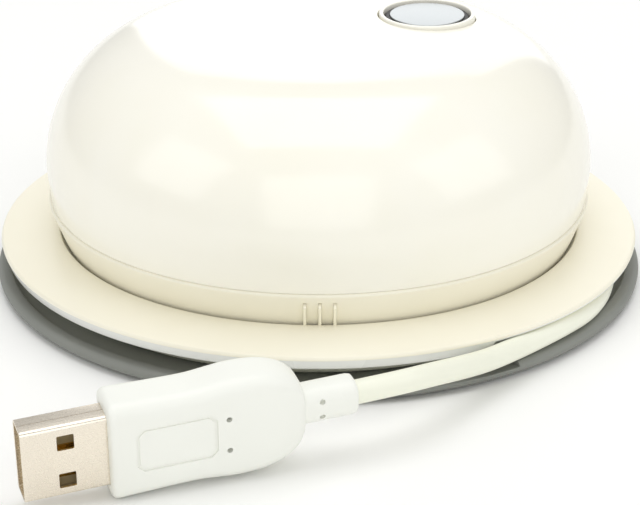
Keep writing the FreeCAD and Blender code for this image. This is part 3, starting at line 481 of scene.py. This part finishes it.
def repeated(piece, material, kind, **sizes):
    """Copies of a piece on a circle (count, radius, turn) or in a row (count, step)."""
    tree = bpy.data.node_groups.new(piece.name + "_pattern", "GeometryNodeTree")
    tree.interface.new_socket("Geometry", in_out="INPUT", socket_type="NodeSocketGeometry")
    tree.interface.new_socket("Geometry", in_out="OUTPUT", socket_type="NodeSocketGeometry")
    tree.interface.new_socket("Count", in_out="INPUT", socket_type="NodeSocketInt")
    tree.interface.new_socket("Size", in_out="INPUT", socket_type="NodeSocketFloat")
    tree.interface.new_socket("Turn", in_out="INPUT", socket_type="NodeSocketFloat")
    given = add(tree, "NodeGroupInput")
    if kind == "circle":
        points = add(tree, "GeometryNodeMeshCircle", {"Vertices": given.outputs["Count"],
                                                      "Radius": given.outputs["Size"]})
    else:
        step = add(tree, "ShaderNodeCombineXYZ", {"X": given.outputs["Size"]})
        points = add(tree, "GeometryNodeMeshLine", {"Count": given.outputs["Count"],
                                                    "Offset": step.outputs[0]})
    turn = add(tree, "ShaderNodeCombineXYZ", {"Z": given.outputs["Turn"]})
    turned = add(tree, "GeometryNodeTransform", {"Geometry": points.outputs[0],
                                                 "Rotation": turn.outputs[0]})
    copies = add(tree, "GeometryNodeInstanceOnPoints", {"Points": turned.outputs[0],
                                                        "Instance": given.outputs["Geometry"]})
    real = add(tree, "GeometryNodeRealizeInstances", {"Geometry": copies.outputs[0]})
    painted = add(tree, "GeometryNodeSetMaterial", {"Geometry": real.outputs[0],
                                                    "Material": material})
    add(tree, "NodeGroupOutput", {"Geometry": painted.outputs[0]})
    pattern = piece.modifiers.new("pattern", "NODES")
    pattern.node_group = tree
    for item in tree.interface.items_tree:
        if item.in_out == "INPUT" and item.name in sizes:
            pattern[item.identifier] = sizes[item.name]
    bpy.context.view_layer.update()
    graph = bpy.context.evaluated_depsgraph_get()
    mesh = bpy.data.meshes.new_from_object(piece.evaluated_get(graph))
    piece.modifiers.clear()
    piece.data = mesh
    mesh.name = piece.name
    return piece


# %% [markdown]
# ## Materials
# Each finish is named for the real one and starts from its usual values. Colours are written as
# sRGB hex and turned to linear once. Two noises do most of the work on a moulding: a fine one is
# the mould's texture, a broad one is the slow change of tone and gloss that real plastic shows.


# %% Colour and moulded plastics
def linear(code):
    """An sRGB hex colour as linear RGBA."""
    parts = [int(code[n:n + 2], 16) / 255 for n in (0, 2, 4)]
    return [p / 12.92 if p <= 0.04045 else ((p + 0.055) / 1.055) ** 2.4 for p in parts] + [1]


def new_finish(name, **shader):
    """A material with one shader, and the sockets of object coordinates."""
    material = bpy.data.materials.new(name)
    material.use_nodes = True
    tree = material.node_tree
    tree.nodes.clear()
    surface = add(tree, "ShaderNodeBsdfPrincipled",
                  {key.replace("_", " "): value for key, value in shader.items()})
    add(tree, "ShaderNodeOutputMaterial", {"Surface": surface.outputs[0]})
    place = add(tree, "ShaderNodeTexCoord").outputs["Object"]
    return material, tree, surface, place


def moulded(name, light, dark, gloss, grain, depth, **shader):
    """Moulded plastic: grain in millimetres, depth in microns, gloss as (low, high) roughness."""
    material, tree, surface, place = new_finish(name, **shader)
    fine = add(tree, "ShaderNodeTexNoise", {"Vector": place, "Scale": 1 / (grain * MM),
                                            "Detail": 3.0, "Roughness": 0.6})
    broad = add(tree, "ShaderNodeTexNoise", {"Vector": place, "Scale": 60.0, "Detail": 2.0})
    tone = add(tree, "ShaderNodeMix", {"Factor": broad.outputs[0], "A": linear(dark),
                                       "B": linear(light)}, data_type="RGBA")
    tree.links.new(tone.outputs["Result"], surface.inputs["Base Color"])
    shine = add(tree, "ShaderNodeMapRange", {"Value": broad.outputs[0], "From Min": 0.3,
                                             "From Max": 0.7, "To Min": gloss[0],
                                             "To Max": gloss[1]})
    tree.links.new(shine.outputs[0], surface.inputs["Roughness"])
    bump = add(tree, "ShaderNodeBump", {"Height": fine.outputs[0], "Strength": 0.5,
                                        "Distance": depth * 1e-6})
    tree.links.new(bump.outputs[0], surface.inputs["Normal"])
    return material


# Polished-mould ABS in warm white: near-mirror gloss with a trace of orange peel.
gloss_abs = moulded("polished_white_abs", "FBF9EF", "F8F5E6", (0.12, 0.2), 1.6, 6,
                    IOR=1.53, Coat_Weight=0.15, Coat_Roughness=0.08)
# Spark-eroded ABS in cream: an even satin with a grain that softens every highlight.
satin_abs = moulded("satin_cream_abs", "F7F3E2", "F1ECD8", (0.38, 0.48), 0.35, 14, IOR=1.53)
# The same cream ABS on the lip, glossier, so it takes the tone of what is around it. Its neutral,
# slightly greyer white is painted reflection of the white surroundings and painted shade under the
# rim.
lip_painted_reflection_and_shade = moulded("glossy_lip_painted_reflection_and_shade", "EEEFEA", "E7E8E3", (0.2, 0.28), 1.4, 5, IOR=1.53)
# Soft-touch paint: rubbery, matt and slightly dusty.
soft_paint = moulded("soft_touch_grey_paint", "8C8E88", "7E807A", (0.55, 0.68), 0.25, 22, IOR=1.5)
# Calendered PVC of cords and overmouldings: soft satin with a fine leather-like skin.
cord_pvc = moulded("cord_pvc", "F7F8E8", "EEEFDD", (0.34, 0.44), 0.5, 16, IOR=1.54)
plug_pvc = moulded("overmoulded_pvc", "F6F7F0", "EDEEE6", (0.36, 0.46), 0.4, 18, IOR=1.54)
rubber = moulded("moulded_rubber", "2A2A2A", "202020", (0.6, 0.75), 0.3, 30, IOR=1.52)
nylon = moulded("moulded_nylon", "EFEDE2", "E4E1D4", (0.4, 0.5), 0.3, 10, IOR=1.53)
# Nylon of the plug's insulator, darkened to a warm tan: painted shade inside the plug's latch
# holes.
plug_nylon_painted_shade = moulded("darkened_nylon_painted_shade", "B9A77E", "A8966E", (0.4, 0.5), 0.3, 8, IOR=1.53)
acetal = moulded("turned_acetal", "F2F2EE", "E8E8E3", (0.25, 0.35), 0.4, 8, IOR=1.48)
# Satin black for the button's cap: the ring it shows round the disc is painted shade for a shaded
# gap.
cap_black_painted_shade = moulded("satin_black_painted_shade", "1B1B1C", "121213", (0.4, 0.5), 0.5, 6, IOR=1.5)
black_nylon = moulded("black_nylon", "1A1A1B", "111112", (0.35, 0.5), 0.3, 12, IOR=1.53)
wire_pvc = moulded("wire_pvc", "C4402F", "A93327", (0.35, 0.45), 0.4, 10, IOR=1.54)
# Diffusing acrylic light bars: milky, bright at their polished faces.
acrylic = moulded("diffusing_acrylic", "FDF8E6", "F7F1DC", (0.1, 0.2), 0.8, 3, IOR=1.49,
                  Subsurface_Weight=0.2, Subsurface_Radius=(0.001, 0.001, 0.001))


# %% [markdown]
# ## Metals and the circuit board
# Stamped steel carries the fine lines of its rolling, so its noise is stretched along one way. The
# button's disc was spun in a lathe: its lines are rings about the button's middle, and that turns
# its highlight into two soft fans. Plating keeps metals smooth and tints them a little.

# %% Metals
def rolled(name, light, dark, gloss, stretch, turn=0, depth=2):
    """Rolled and plated sheet: 0.12 mm lines, stretched per axis of a turned frame."""
    material, tree, surface, place = new_finish(name, Metallic=1.0)
    along = add(tree, "ShaderNodeMapping", {"Vector": place, "Scale": stretch,
                                           "Rotation": (0, 0, math.radians(turn))})
    lines = add(tree, "ShaderNodeTexNoise", {"Vector": along.outputs[0], "Scale": 1 / (0.12 * MM),
                                             "Detail": 4.0, "Roughness": 0.65})
    tone = add(tree, "ShaderNodeMix", {"Factor": lines.outputs[0], "A": linear(dark),
                                       "B": linear(light)}, data_type="RGBA")
    tree.links.new(tone.outputs["Result"], surface.inputs["Base Color"])
    shine = add(tree, "ShaderNodeMapRange", {"Value": lines.outputs[0], "To Min": gloss[0],
                                             "To Max": gloss[1]})
    tree.links.new(shine.outputs[0], surface.inputs["Roughness"])
    bump = add(tree, "ShaderNodeBump", {"Height": lines.outputs[0], "Strength": 0.4,
                                        "Distance": depth * 1e-6})
    tree.links.new(bump.outputs[0], surface.inputs["Normal"])
    return material


nickel = rolled("nickel_plated_steel", "EBE2D4", "DAD0C1", (0.22, 0.34), (1.0, 1.0, 1.0))
sleeve_nickel = rolled("rolled_nickel_sleeve", "F6EEE0", "E9DFCF", (0.22, 0.32), (0.08, 1.0, 1.0),
                       turn=-19.45)
zinc = rolled("zinc_plated_steel", "C9C9C4", "A9A9A4", (0.3, 0.45), (1.0, 1.0, 1.0))
gold = rolled("gold_flashed_bronze", "E2BE6B", "C79D48", (0.18, 0.3), (1.0, 1.0, 0.3))


def spun_aluminium():
    """Lathe-spun, anodised disc: fine rings about the button's middle."""
    material, tree, surface, place = new_finish("spun_anodised_aluminium", Metallic=1.0)
    centred = add(tree, "ShaderNodeMapping", {
        "Vector": place, "Location": (-disc_middle.x, -disc_middle.y, -disc_middle.z)})
    away = add(tree, "ShaderNodeVectorMath", {0: centred.outputs[0]}, operation="LENGTH")
    # 0.12 mm between rings, drawn coarser than the real feed marks so that it shows
    rings = add(tree, "ShaderNodeTexNoise", {"W": add(tree, "ShaderNodeMath", {
        0: away.outputs["Value"], 1: 1 / (0.12 * MM)}, operation="MULTIPLY").outputs[0],
        "Scale": 1.0, "Detail": 2.0}, noise_dimensions="1D")
    tone = add(tree, "ShaderNodeMix", {"Factor": rings.outputs[0], "A": linear("B2B7B9"),
                                       "B": linear("C8CCCD")}, data_type="RGBA")
    tree.links.new(tone.outputs["Result"], surface.inputs["Base Color"])
    shine = add(tree, "ShaderNodeMapRange", {"Value": rings.outputs[0], "To Min": 0.24,
                                             "To Max": 0.4})
    tree.links.new(shine.outputs[0], surface.inputs["Roughness"])
    bump = add(tree, "ShaderNodeBump", {"Height": rings.outputs[0], "Strength": 0.5,
                                        "Distance": 5e-6})
    tree.links.new(bump.outputs[0], surface.inputs["Normal"])
    return material


def solder_mask():
    """Green mask over etched copper: raised tracks between bare laminate."""
    material, tree, surface, place = new_finish("solder_mask_on_copper", IOR=1.5, Roughness=0.3)
    tracks = add(tree, "ShaderNodeTexVoronoi", {"Vector": place, "Scale": 1 / (1.8 * MM)},
                 distance="CHEBYCHEV", feature="DISTANCE_TO_EDGE")
    edge = add(tree, "ShaderNodeMapRange", {"Value": tracks.outputs[0], "From Min": 0.05,
                                            "From Max": 0.12})
    tone = add(tree, "ShaderNodeMix", {"Factor": edge.outputs[0], "A": linear("1F6B40"),
                                       "B": linear("124A2B")}, data_type="RGBA")
    tree.links.new(tone.outputs["Result"], surface.inputs["Base Color"])
    bump = add(tree, "ShaderNodeBump", {"Height": edge.outputs[0], "Strength": 0.6,
                                        "Distance": 3e-5}, invert=True)
    tree.links.new(bump.outputs[0], surface.inputs["Normal"])
    return material


spun = spun_aluminium()
board = solder_mask()

# %% [markdown]
# ## Feet, screws and light bars
# One foot is a low round pad with a soft edge; one screw is a pan head with a cross recess. Their
# circle comes from the boxes of the nodes that they stand for.

# %% Repeated pieces
feet_low, feet_high, _ = box_of("rubber_feet")
FOOT_R = 5 * MM
foot_circle = (feet_high.x - FOOT_R) * math.sqrt(2)
feet = lathe("foot_pads", rounded([
    (0, feet_low.z), (FOOT_R, feet_low.z, 0.35 * MM), (FOOT_R, feet_high.z), (0, feet_high.z)]),
    segments=64)
repeated(feet, rubber, "circle", Count=4, Size=foot_circle, Turn=math.pi / 4)

screw_low, screw_high, _ = box_of("base_screws")
HEAD_R, HEAD_TALL, SHANK_R = 1.9 * MM, 0.8 * MM, 1.0 * MM
CROSS_LONG, CROSS_WIDE, CROSS_DEEP = 2.0 * MM, 0.5 * MM, 0.5 * MM
screw_circle = (screw_high.x - HEAD_R) * math.sqrt(2)
screw = lathe("base_screw_set", rounded([
    (0, screw_low.z), (HEAD_R, screw_low.z, 0.35 * MM), (HEAD_R, screw_low.z + HEAD_TALL),
    (SHANK_R, screw_low.z + HEAD_TALL), (SHANK_R, screw_high.z, 0.3 * MM), (0, screw_high.z)]),
    segments=48)
cross_outline = rectangle(CROSS_LONG, CROSS_WIDE, 0.1 * MM)
carved(screw, *[prism("cross_%d" % n, cross_outline, screw_low.z - MM, screw_low.z + CROSS_DEEP,
                      Matrix.Rotation(n * math.pi / 2, 4, "Z")) for n in (0, 1)])
repeated(screw, zinc, "circle", Count=4, Size=screw_circle, Turn=math.pi / 4)

bar_tall = bars_high.z - bars_low.z
bar_lean = math.atan2(collar_high.x - collar_low_r, collar_top_z - collar_low.z)
BAR_DEEP, BAR_OUT = 2.2 * MM, 0.75 * MM
bar = prism("light_bars", rectangle(BAR_WIDE, BAR_DEEP, 0.15 * MM), -bar_tall / 2, bar_tall / 2)
edges = bar.modifiers.new("soft_edge", "BEVEL")
edges.width = 0.08 * MM
edges.segments = 2
first_bar = Vector((bars_middle.x - BAR_STEP, bars_middle.y - BAR_OUT, bars_middle.z))

# %% Put the light bars in their row
repeated(bar, acrylic, "row", Count=3, Size=BAR_STEP, Turn=0.0)
bar.data.transform(Matrix.Translation(first_bar) @ Matrix.Rotation(bar_lean, 4, "X"))
print("three bars, each %.1f mm tall" % (bar_tall / MM))

# %% [markdown]
# ## Push button
# The button is a silver disc let into a satin black cap, inside a white bezel that stands a hair
# above the dome. The black ring around the disc is the cap's edge, sunk below the disc: its black
# is painted shade for a shaded gap, added to the real shade of the recess. All three are turned.

# %% Button pieces
cap_low, cap_high, _ = box_of("button_cap")
CAP_R, CAP_WALL, CAP_SKIRT = 7.3 * MM, 1.5 * MM, 1.2 * MM
DISC_R, DISC_WALL, RING_SUNK = 6.5 * MM, 0.45 * MM, 0.3 * MM
BEZEL_IN, BEZEL_FLOOR, BEZEL_FLANGE, STEM_HOLE = 7.6 * MM, 1.4 * MM, 10.2 * MM, 1.9 * MM
SEAT_GAP = 0.04 * MM  # between the disc and the wall of its seat
spot = disc_middle.xy
bezel_floor_z = bezel_low.z + BEZEL_FLOOR
seat_z = cap_high.z - DISC_WALL
ring_z = cap_high.z - RING_SUNK

bezel = lathe("bezel_ring", rounded([
    (STEM_HOLE, bezel_low.z), (BEZEL_FLANGE, bezel_low.z), (BEZEL_FLANGE, bezel_floor_z),
    (BEZEL_OUT, bezel_floor_z), (BEZEL_OUT, bezel_high.z, 0.3 * MM),
    (BEZEL_IN, bezel_high.z, 0.25 * MM), (BEZEL_IN, bezel_floor_z),
    (STEM_HOLE, bezel_floor_z)]), spot, 128)
cap = lathe("button_ring", rounded([
    (0, seat_z), (DISC_R + SEAT_GAP, seat_z), (DISC_R + SEAT_GAP, ring_z, 0.05 * MM),
    (CAP_R, ring_z, 0.25 * MM), (CAP_R, cap_low.z, 0.2 * MM),
    (CAP_R - CAP_SKIRT, cap_low.z, 0.2 * MM), (CAP_R - CAP_SKIRT, cap_high.z - CAP_WALL),
    (0, cap_high.z - CAP_WALL)]), spot, 128)
disc = lathe("button_face", rounded([
    (0, seat_z), (DISC_R, seat_z), (DISC_R, cap_high.z, 0.12 * MM), (0, cap_high.z)]), spot, 128)
print("button face %.1f mm across" % (2 * DISC_R / MM))

# %% [markdown]
# ## Return spring
# On the hub, the spring under the cap shortens when the button is pressed. It is wire wound on a
# cylinder, so a bevelled helix makes it. Here it is made at its rest length with its foot on the
# bezel's floor, and it rides on the turret; nothing shortens it or makes it follow the cap.

# %% Return spring
spring_low, spring_high, _ = box_of("button_spring")
WIRE_R, SPRING_TURNS, TRAVEL = 0.2 * MM, 3.5, 0.8 * MM
TURN_STEPS = 16  # points in one turn of wire
spring_tall = spring_high.z - spring_low.z
spring_mean = (spring_high.x - spring_low.x) / 2 - WIRE_R
helix = []
for step in range(int(SPRING_TURNS * TURN_STEPS) + 1):
    turn = 2 * math.pi * step / TURN_STEPS
    rise = step / (SPRING_TURNS * TURN_STEPS) * (spring_tall - 2 * WIRE_R)
    helix.append(Vector((spot.x + spring_mean * math.cos(turn),
                         spot.y + spring_mean * math.sin(turn), spring_low.z + WIRE_R + rise)))
wire = smooth_cord("spring_wire", helix, WIRE_R)
bpy.context.view_layer.update()
wound = bpy.data.meshes.new_from_object(
    wire.evaluated_get(bpy.context.evaluated_depsgraph_get()))
spring = bpy.data.objects.new("return_spring", wound)
scene.collection.objects.link(spring)
bpy.data.objects.remove(wire)
print("spring: %.2f mm tall at rest" % (spring_tall / MM))

# %% [markdown]
# ## Plug
# The boot is moulded over the shell in one shot. Its section is a rounded rectangle that keeps its
# thickness, narrows at a waist, swells and then rounds off into a slim neck that lets the cord
# bend. It is lofted from sections along its length, and the panel and the mould's locating holes
# are cut into it. The panel is left plain.


# %% Boot sections
MOULD_LONG, MOULD_THICK = 29.5 * MM, 8.2 * MM
FRONT_HALF, WAIST_HALF, SWELL_HALF = 8.05 * MM, 7.75 * MM, 8.35 * MM
NECK_WIDE, NECK_THICK, NECK_LONG = 5.8 * MM, 5.4 * MM, 8.5 * MM
SWELL_AT, WAIST_AT = 19.5 * MM, 12.0 * MM
LEAN = math.radians(-7.2)
FACE_EDGE, FACE_CORNER = 0.9 * MM, 1.4 * MM  # rounding of the boot's front face

side_way = Vector((0, 0, 1)) - plug_axis * plug_axis.z
upright = side_way.normalized()
thick_way = upright.cross(plug_axis)
plug_place = Matrix.Translation(plug_origin) @ Matrix((
    (plug_axis.x, thick_way.x, upright.x, 0), (plug_axis.y, thick_way.y, upright.y, 0),
    (plug_axis.z, thick_way.z, upright.z, 0), (0, 0, 0, 1))) @ Matrix.Rotation(LEAN, 4, "X")


def boot_section(back):
    """Half width, half thickness and corner radius at a distance behind the boot's face."""
    if back <= WAIST_AT:
        half = FRONT_HALF + (WAIST_HALF - FRONT_HALF) * eased(back / WAIST_AT)
    else:
        half = WAIST_HALF + (SWELL_HALF - WAIST_HALF) * eased(
            min(1, (back - WAIST_AT) / (SWELL_AT - WAIST_AT)))
    thick = MOULD_THICK / 2
    if back > SWELL_AT:
        part = min(1, (back - SWELL_AT) / (MOULD_LONG - SWELL_AT))
        fall = max(0, 1 - part ** 2.3) ** (1 / 2.3)
        half = NECK_WIDE / 2 + (half - NECK_WIDE / 2) * fall
        thick = NECK_THICK / 2 + (thick - NECK_THICK / 2) * fall
    return half, thick, min(2.2 * MM, thick * 0.85)


def boot_stations():
    """Distances behind the face, closer where the boot rounds off."""
    front = [FACE_EDGE * (1 - math.cos(math.radians(a))) for a in (30, 45, 60, 75, 90)]
    body = [n * MM for n in range(2, 20)]
    end = [SWELL_AT + (MOULD_LONG - SWELL_AT) * math.sin(math.radians(a)) for a in range(6, 91, 6)]
    neck = [MOULD_LONG + 0.4 * MM + n * (NECK_LONG - 1.2 * MM) / 6 for n in range(7)]
    return front + body + end + neck


def loft(name, sections, steps=7):
    """A closed skin over rounded-rectangle sections (x, half width, half thickness, corner)."""
    bm = bmesh.new()
    rings = []
    for x, half, thick, corner in sections:
        outline = rounded([(-thick, -half, corner), (thick, -half, corner),
                           (thick, half, corner), (-thick, half, corner)], steps)
        rings.append([bm.verts.new((x, point.x, point.y)) for point in outline])
    count = len(rings[0])
    for ring, after in zip(rings, rings[1:]):
        for n in range(count):
            bm.faces.new((ring[n], ring[(n + 1) % count], after[(n + 1) % count], after[n]))
    bm.faces.new(rings[0])
    bm.faces.new(rings[-1])
    return finish_mesh(name, bm, 50)


def boot():
    """The boot in its own axes: +X towards the tip, +Z its width."""
    sections = [(0, FRONT_HALF - FACE_EDGE, MOULD_THICK / 2 - FACE_EDGE, FACE_CORNER)]
    for back in boot_stations():
        half, thick, corner = boot_section(back)
        if back < FACE_EDGE:
            inset = FACE_EDGE - math.sqrt(FACE_EDGE ** 2 - (FACE_EDGE - back) ** 2)
            half, thick = half - inset, thick - inset
            corner = max(FACE_CORNER, corner - inset)
        sections.append((-back, half, thick, corner))
    last = NECK_LONG + MOULD_LONG
    half, thick, corner = boot_section(last)
    for more, inset in ((0.25 * MM, 0.15 * MM), (0.1 * MM, 0.35 * MM), (0, 0.6 * MM)):
        sections.append((-last + more, half - inset, thick - inset, corner - inset))
    return loft("plug_boot", sections)


# %% Boot with its panel, socket and locating holes
boot_piece = boot()
PANEL_X, PANEL_W = -9.75 * MM, 0.35 * MM
PANEL_LONG, PANEL_WIDE, PANEL_DEEP = 12.1 * MM, 7.3 * MM, 0.28 * MM
GROOVE = 0.45 * MM  # the line around the panel
SHELL_WIDE, SHELL_TALL, SHELL_IN = 12 * MM, 4.5 * MM, 6 * MM
SOCKET_GAP = 0.04 * MM
LOCATOR_R, LOCATOR_DEEP = 0.45 * MM, 2.2 * MM
LOCATORS = ((-17.5, 2.7), (-17.5, -2.7), (-32.2, 1.3), (-32.2, -1.3))
face_y = -MOULD_THICK / 2
flat = Matrix(((1, 0, 0, 0), (0, 0, 1, 0), (0, 1, 0, 0), (0, 0, 0, 1)))  # outline x, z; height y


def chamfered(long, wide, cut, middle):
    """A rectangle whose corners are cut and softened."""
    x, y = middle
    a, b = long / 2, wide / 2
    return rounded([(x + px, y + py, 0.3 * MM) for px, py in (
        (-a + cut, -b), (a - cut, -b), (a, -b + cut), (a, b - cut), (a - cut, b), (-a + cut, b),
        (-a, b - cut), (-a, -b + cut))], 3)


def user_side(name, outline, deep):
    """A cutter that goes into the boot's face on the side of the contacts."""
    return prism(name, outline, -face_y - deep, -face_y + MM, flat)


panel_groove = user_side("panel_groove", chamfered(
    PANEL_LONG, PANEL_WIDE, MM, (PANEL_X, PANEL_W)), PANEL_DEEP)
plateau = prism("panel_plateau", chamfered(
    PANEL_LONG - 2 * GROOVE, PANEL_WIDE - 2 * GROOVE, 0.8 * MM, (PANEL_X, PANEL_W)),
    0, -face_y - PANEL_DEEP / 2, flat)
carved(panel_groove, plateau)
along_plug = Matrix.Rotation(math.pi / 2, 4, "Y") @ Matrix.Rotation(math.pi / 2, 4, "Z")
socket_cut = prism("shell_socket", rectangle(
    SHELL_TALL + 2 * SOCKET_GAP, SHELL_WIDE + 2 * SOCKET_GAP, 0.6 * MM), -SHELL_IN, MM, along_plug)
holes = [user_side("locator_%d" % n, [Vector((x, w)) * MM + p for p in circle(LOCATOR_R, 24)],
                   LOCATOR_DEEP) for n, (x, w) in enumerate(LOCATORS, 1)]
carved(boot_piece, panel_groove, socket_cut, *holes, sharp=40)
boot_piece.data.transform(plug_place)
print("boot:", len(boot_piece.data.polygons), "faces")

# %% [markdown]
# ## Plug shell
# The shell is one strip of steel folded into a tube. It shows its thickness at the mouth, round
# corners along its length, a fine seam where the strip's ends meet and two square latch holes in
# each broad face.

# %% Shell
SHELL_WALL, LATCH = 0.3 * MM, 2.5 * MM
SEAM_WIDE, SEAM_DEEP = 0.07 * MM, 0.12 * MM
LATCH_X, LATCH_W = 6.1 * MM, 3.25 * MM


def folded_tube(name, thick, wide, long_from, long_to, corner, wall):
    """A rectangular tube of sheet along +X, with round folds and a softened mouth."""
    bm = bmesh.new()
    stations = [(long_from, 0), (long_to - 0.12 * MM, 0), (long_to - 0.04 * MM, 0.03 * MM),
                (long_to, 0.1 * MM), (long_to, wall - 0.06 * MM), (long_to - 0.06 * MM, wall),
                (long_from, wall)]
    rings = []
    for x, inset in stations:
        half, deep, fold = wide / 2 - inset, thick / 2 - inset, corner - inset
        outline = rounded([(-deep, -half, fold), (deep, -half, fold), (deep, half, fold),
                           (-deep, half, fold)], 6)
        rings.append([bm.verts.new((x, point.x, point.y)) for point in outline])
    count = len(rings[0])
    for ring, after in zip(rings, rings[1:] + rings[:1]):
        for n in range(count):
            bm.faces.new((ring[n], ring[(n + 1) % count], after[(n + 1) % count], after[n]))
    return finish_mesh(name, bm)


shell = folded_tube("plug_sleeve", SHELL_TALL, SHELL_WIDE, -SHELL_IN + 0.05 * MM, SHELL_LONG,
                    0.7 * MM, SHELL_WALL)
latches = [prism("latch_%d" % n, rectangle(LATCH, LATCH, 0.2 * MM, (LATCH_X, side * LATCH_W)),
                 -SHELL_TALL, SHELL_TALL, flat) for n, side in ((1, 1), (2, -1))]
seam = prism("seam", rectangle(30 * MM, SEAM_WIDE, 0.02 * MM), SHELL_WIDE / 2 - SEAM_DEEP,
             SHELL_WIDE / 2 + MM)
carved(shell, *latches, seam)
shell.data.transform(plug_place)
print("shell %.1f by %.1f mm" % (SHELL_WIDE / MM, SHELL_TALL / MM))

# %% [markdown]
# ## Sockets on the far side
# Each socket's shell is folded sheet with a softened mouth, so that a plug finds its way in, and
# two slots in each broad wall where the springs are pressed out. One function makes all four, each
# turned to its place and kept as a piece of its own.

# %% Socket shells
SOCKET_WIDE, SOCKET_TALL, SOCKET_LONG, SOCKET_MOUTH = 13.2 * MM, 5.9 * MM, 14 * MM, 46.6 * MM
SLOT_LONG, SLOT_WIDE, SLOT_BACK, SLOT_SIDE = 6 * MM, 1.6 * MM, 6.5 * MM, 3.2 * MM


def socket_shell(number, turn):
    """One socket's shell, turned to its place in the turret."""
    item = folded_tube("socket_shell_%d" % number, SOCKET_WIDE, SOCKET_TALL,
                       SOCKET_MOUTH - SOCKET_LONG, SOCKET_MOUTH, 0.6 * MM, SHELL_WALL)
    slots = [prism("slot_%d" % n, rectangle(SLOT_LONG, SLOT_WIDE, 0.3 * MM, (
        SOCKET_MOUTH - SLOT_BACK, side * SLOT_SIDE)), -SOCKET_TALL, SOCKET_TALL)
        for n, side in ((1, 1), (2, -1))]
    carved(item, *slots)
    _, _, middle = box_of("usb_shell_%d" % number)
    turned = Matrix.Rotation(math.radians(turn), 4, "Z")
    item.data.transform(Matrix.Translation((0, 0, middle.z)) @ turned)
    return item


sockets = [socket_shell(n, turn) for n, turn in enumerate(PORT_TURNS, 1)]
print(len(sockets), "sockets")

# %% [markdown]
# ## Give every piece its finish and its body
# New pieces stand for the plain nodes that they refine and ride on the same body. The nodes whose
# shape is already right keep it and only get a real finish.


# %% Finishes and bodies
def dress(piece, material, slot, body, *replaced):
    """Material, record slot (not used), body and the nodes that this piece stands for."""
    piece.data.materials.clear()
    piece.data.materials.append(material)
    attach(piece, body)
    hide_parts(*replaced)


dress(dome, gloss_abs, "gloss_white", "turret", "dome_shell")
dress(collar, satin_abs, "cream_satin", "turret", "collar_ring")
dress(bezel, gloss_abs, "gloss_white", "turret", "button_bezel")
dress(bar, acrylic, "light_pipe", "turret", "indicator_bars")
dress(cap, cap_black_painted_shade, "button_black", "button", "button_cap")
dress(disc, spun, "spun_silver", "button", "button_disc")
dress(saucer, satin_abs, "cream_satin", "base", "cord_flange")
# The lip's outer faces take the neutral white: painted reflection and painted shade.
saucer.data.materials.append(lip_painted_reflection_and_shade)
LIP_FROM = flange_r - LIP_TAPER - 0.1 * MM  # the lip's outer face is beyond this radius
LIP_TOP = top_z - EDGE_DROP - 0.12 * MM  # and below this height
for face in saucer.data.polygons:
    if math.hypot(face.center.x, face.center.y) > LIP_FROM and face.center.z < LIP_TOP:
        face.material_index = 1
dress(tray, soft_paint, "soft_grey", "base", "base_tray")
dress(feet, rubber, "foot_rubber", "base", "rubber_feet")
dress(screw, zinc, "zinc_steel", "base", "base_screws")
dress(boot_piece, plug_pvc, "plug_pvc", "base", "plug_overmold")
dress(shell, sleeve_nickel, "nickel_steel", "base", "plug_shell")
dress(cord, cord_pvc, "cord_jacket", "base", "cord_coil", "cord_lead")
for number, item in enumerate(sockets, 1):
    dress(item, nickel, "nickel_steel", "turret", "usb_shell_%d" % number)

dress(spring, zinc, "zinc_steel", "turret", "button_spring")
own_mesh(spring)

KEPT = {
    "ballast_ring": zinc, "slide_washer": acetal, "cord_clamp": black_nylon,
    # The plug insulator's darkened tan is painted shade.
    "inner_wires": wire_pvc, "plug_insulator": plug_nylon_painted_shade, "plug_contacts": gold,
    "turret_chassis": satin_abs, "retaining_washer": zinc, "retainer_screws": zinc,
    "chassis_screws": zinc, "status_led": acrylic, "circuit_board": board,
    "board_screws": zinc, "hub_chip": black_nylon, "crystal": nickel,
    "capacitors": black_nylon, "wire_header": nylon, "switch_body": black_nylon,
    "dc_jack": black_nylon, "dc_jack_pin": nickel, "button_stem": nylon,
    "switch_plunger": black_nylon,
}
for number in range(1, 5):
    KEPT["usb_tongue_%d" % number] = nylon
    KEPT["usb_contacts_%d" % number] = gold
for name, material in KEPT.items():
    nodes[name].data.materials.clear()
    nodes[name].data.materials.append(material)
print("finished", len(KEPT), "kept nodes")

# %% [markdown]
# ## Floor and light
# A white sweep and large soft sources make the pale studio look: a broad one above for the crown,
# a smaller one at each side for the dome's flanks, and one in front and one behind so that no side
# falls dark. An even white world fills the rest.


# %% Stage
def soft_light(name, place, aim, size, power):
    """A square area light that faces its aim."""
    data = bpy.data.lights.new(name, "AREA")
    data.size = size
    data.energy = power
    item = bpy.data.objects.new(name, data)
    item.location = place
    item.rotation_euler = (Vector(aim) - Vector(place)).to_track_quat("-Z", "Y").to_euler()
    scene.collection.objects.link(item)


floor = prism("floor", rectangle(6, 6, 0.5), -0.01, 0)
white_sweep, *_ = new_finish("white_sweep", Base_Color=linear("FAFAF8"), Roughness=0.9)
floor.data.materials.append(white_sweep)
LIGHTS = {  # place, aim, size in metres and power in watts
    "top_box": ((0.0, 0.05, 0.9), (0, 0, 0), 0.8, 3.4),
    "left_box": ((-0.8, -0.35, 0.55), (0, 0, 0.02), 0.6, 1.2),
    "right_box": ((0.8, -0.3, 0.5), (0, 0, 0.02), 0.6, 1.2),
    "front_box": ((0.0, -0.95, 0.45), (0, 0, 0.02), 0.8, 2.2),
    "back_box": ((0.1, 1.0, 0.4), (0.02, 0, 0.04), 0.8, 2.2),
}
for name, values in LIGHTS.items():
    soft_light(name, *values)
world = bpy.data.worlds.new("studio")
scene.world = world
world.use_nodes = True
background = world.node_tree.nodes["Background"]
background.inputs["Color"].default_value = (1, 1, 1, 1)
background.inputs["Strength"].default_value = 0.5
scene.view_settings.view_transform = "Standard"  # white plastic stays white
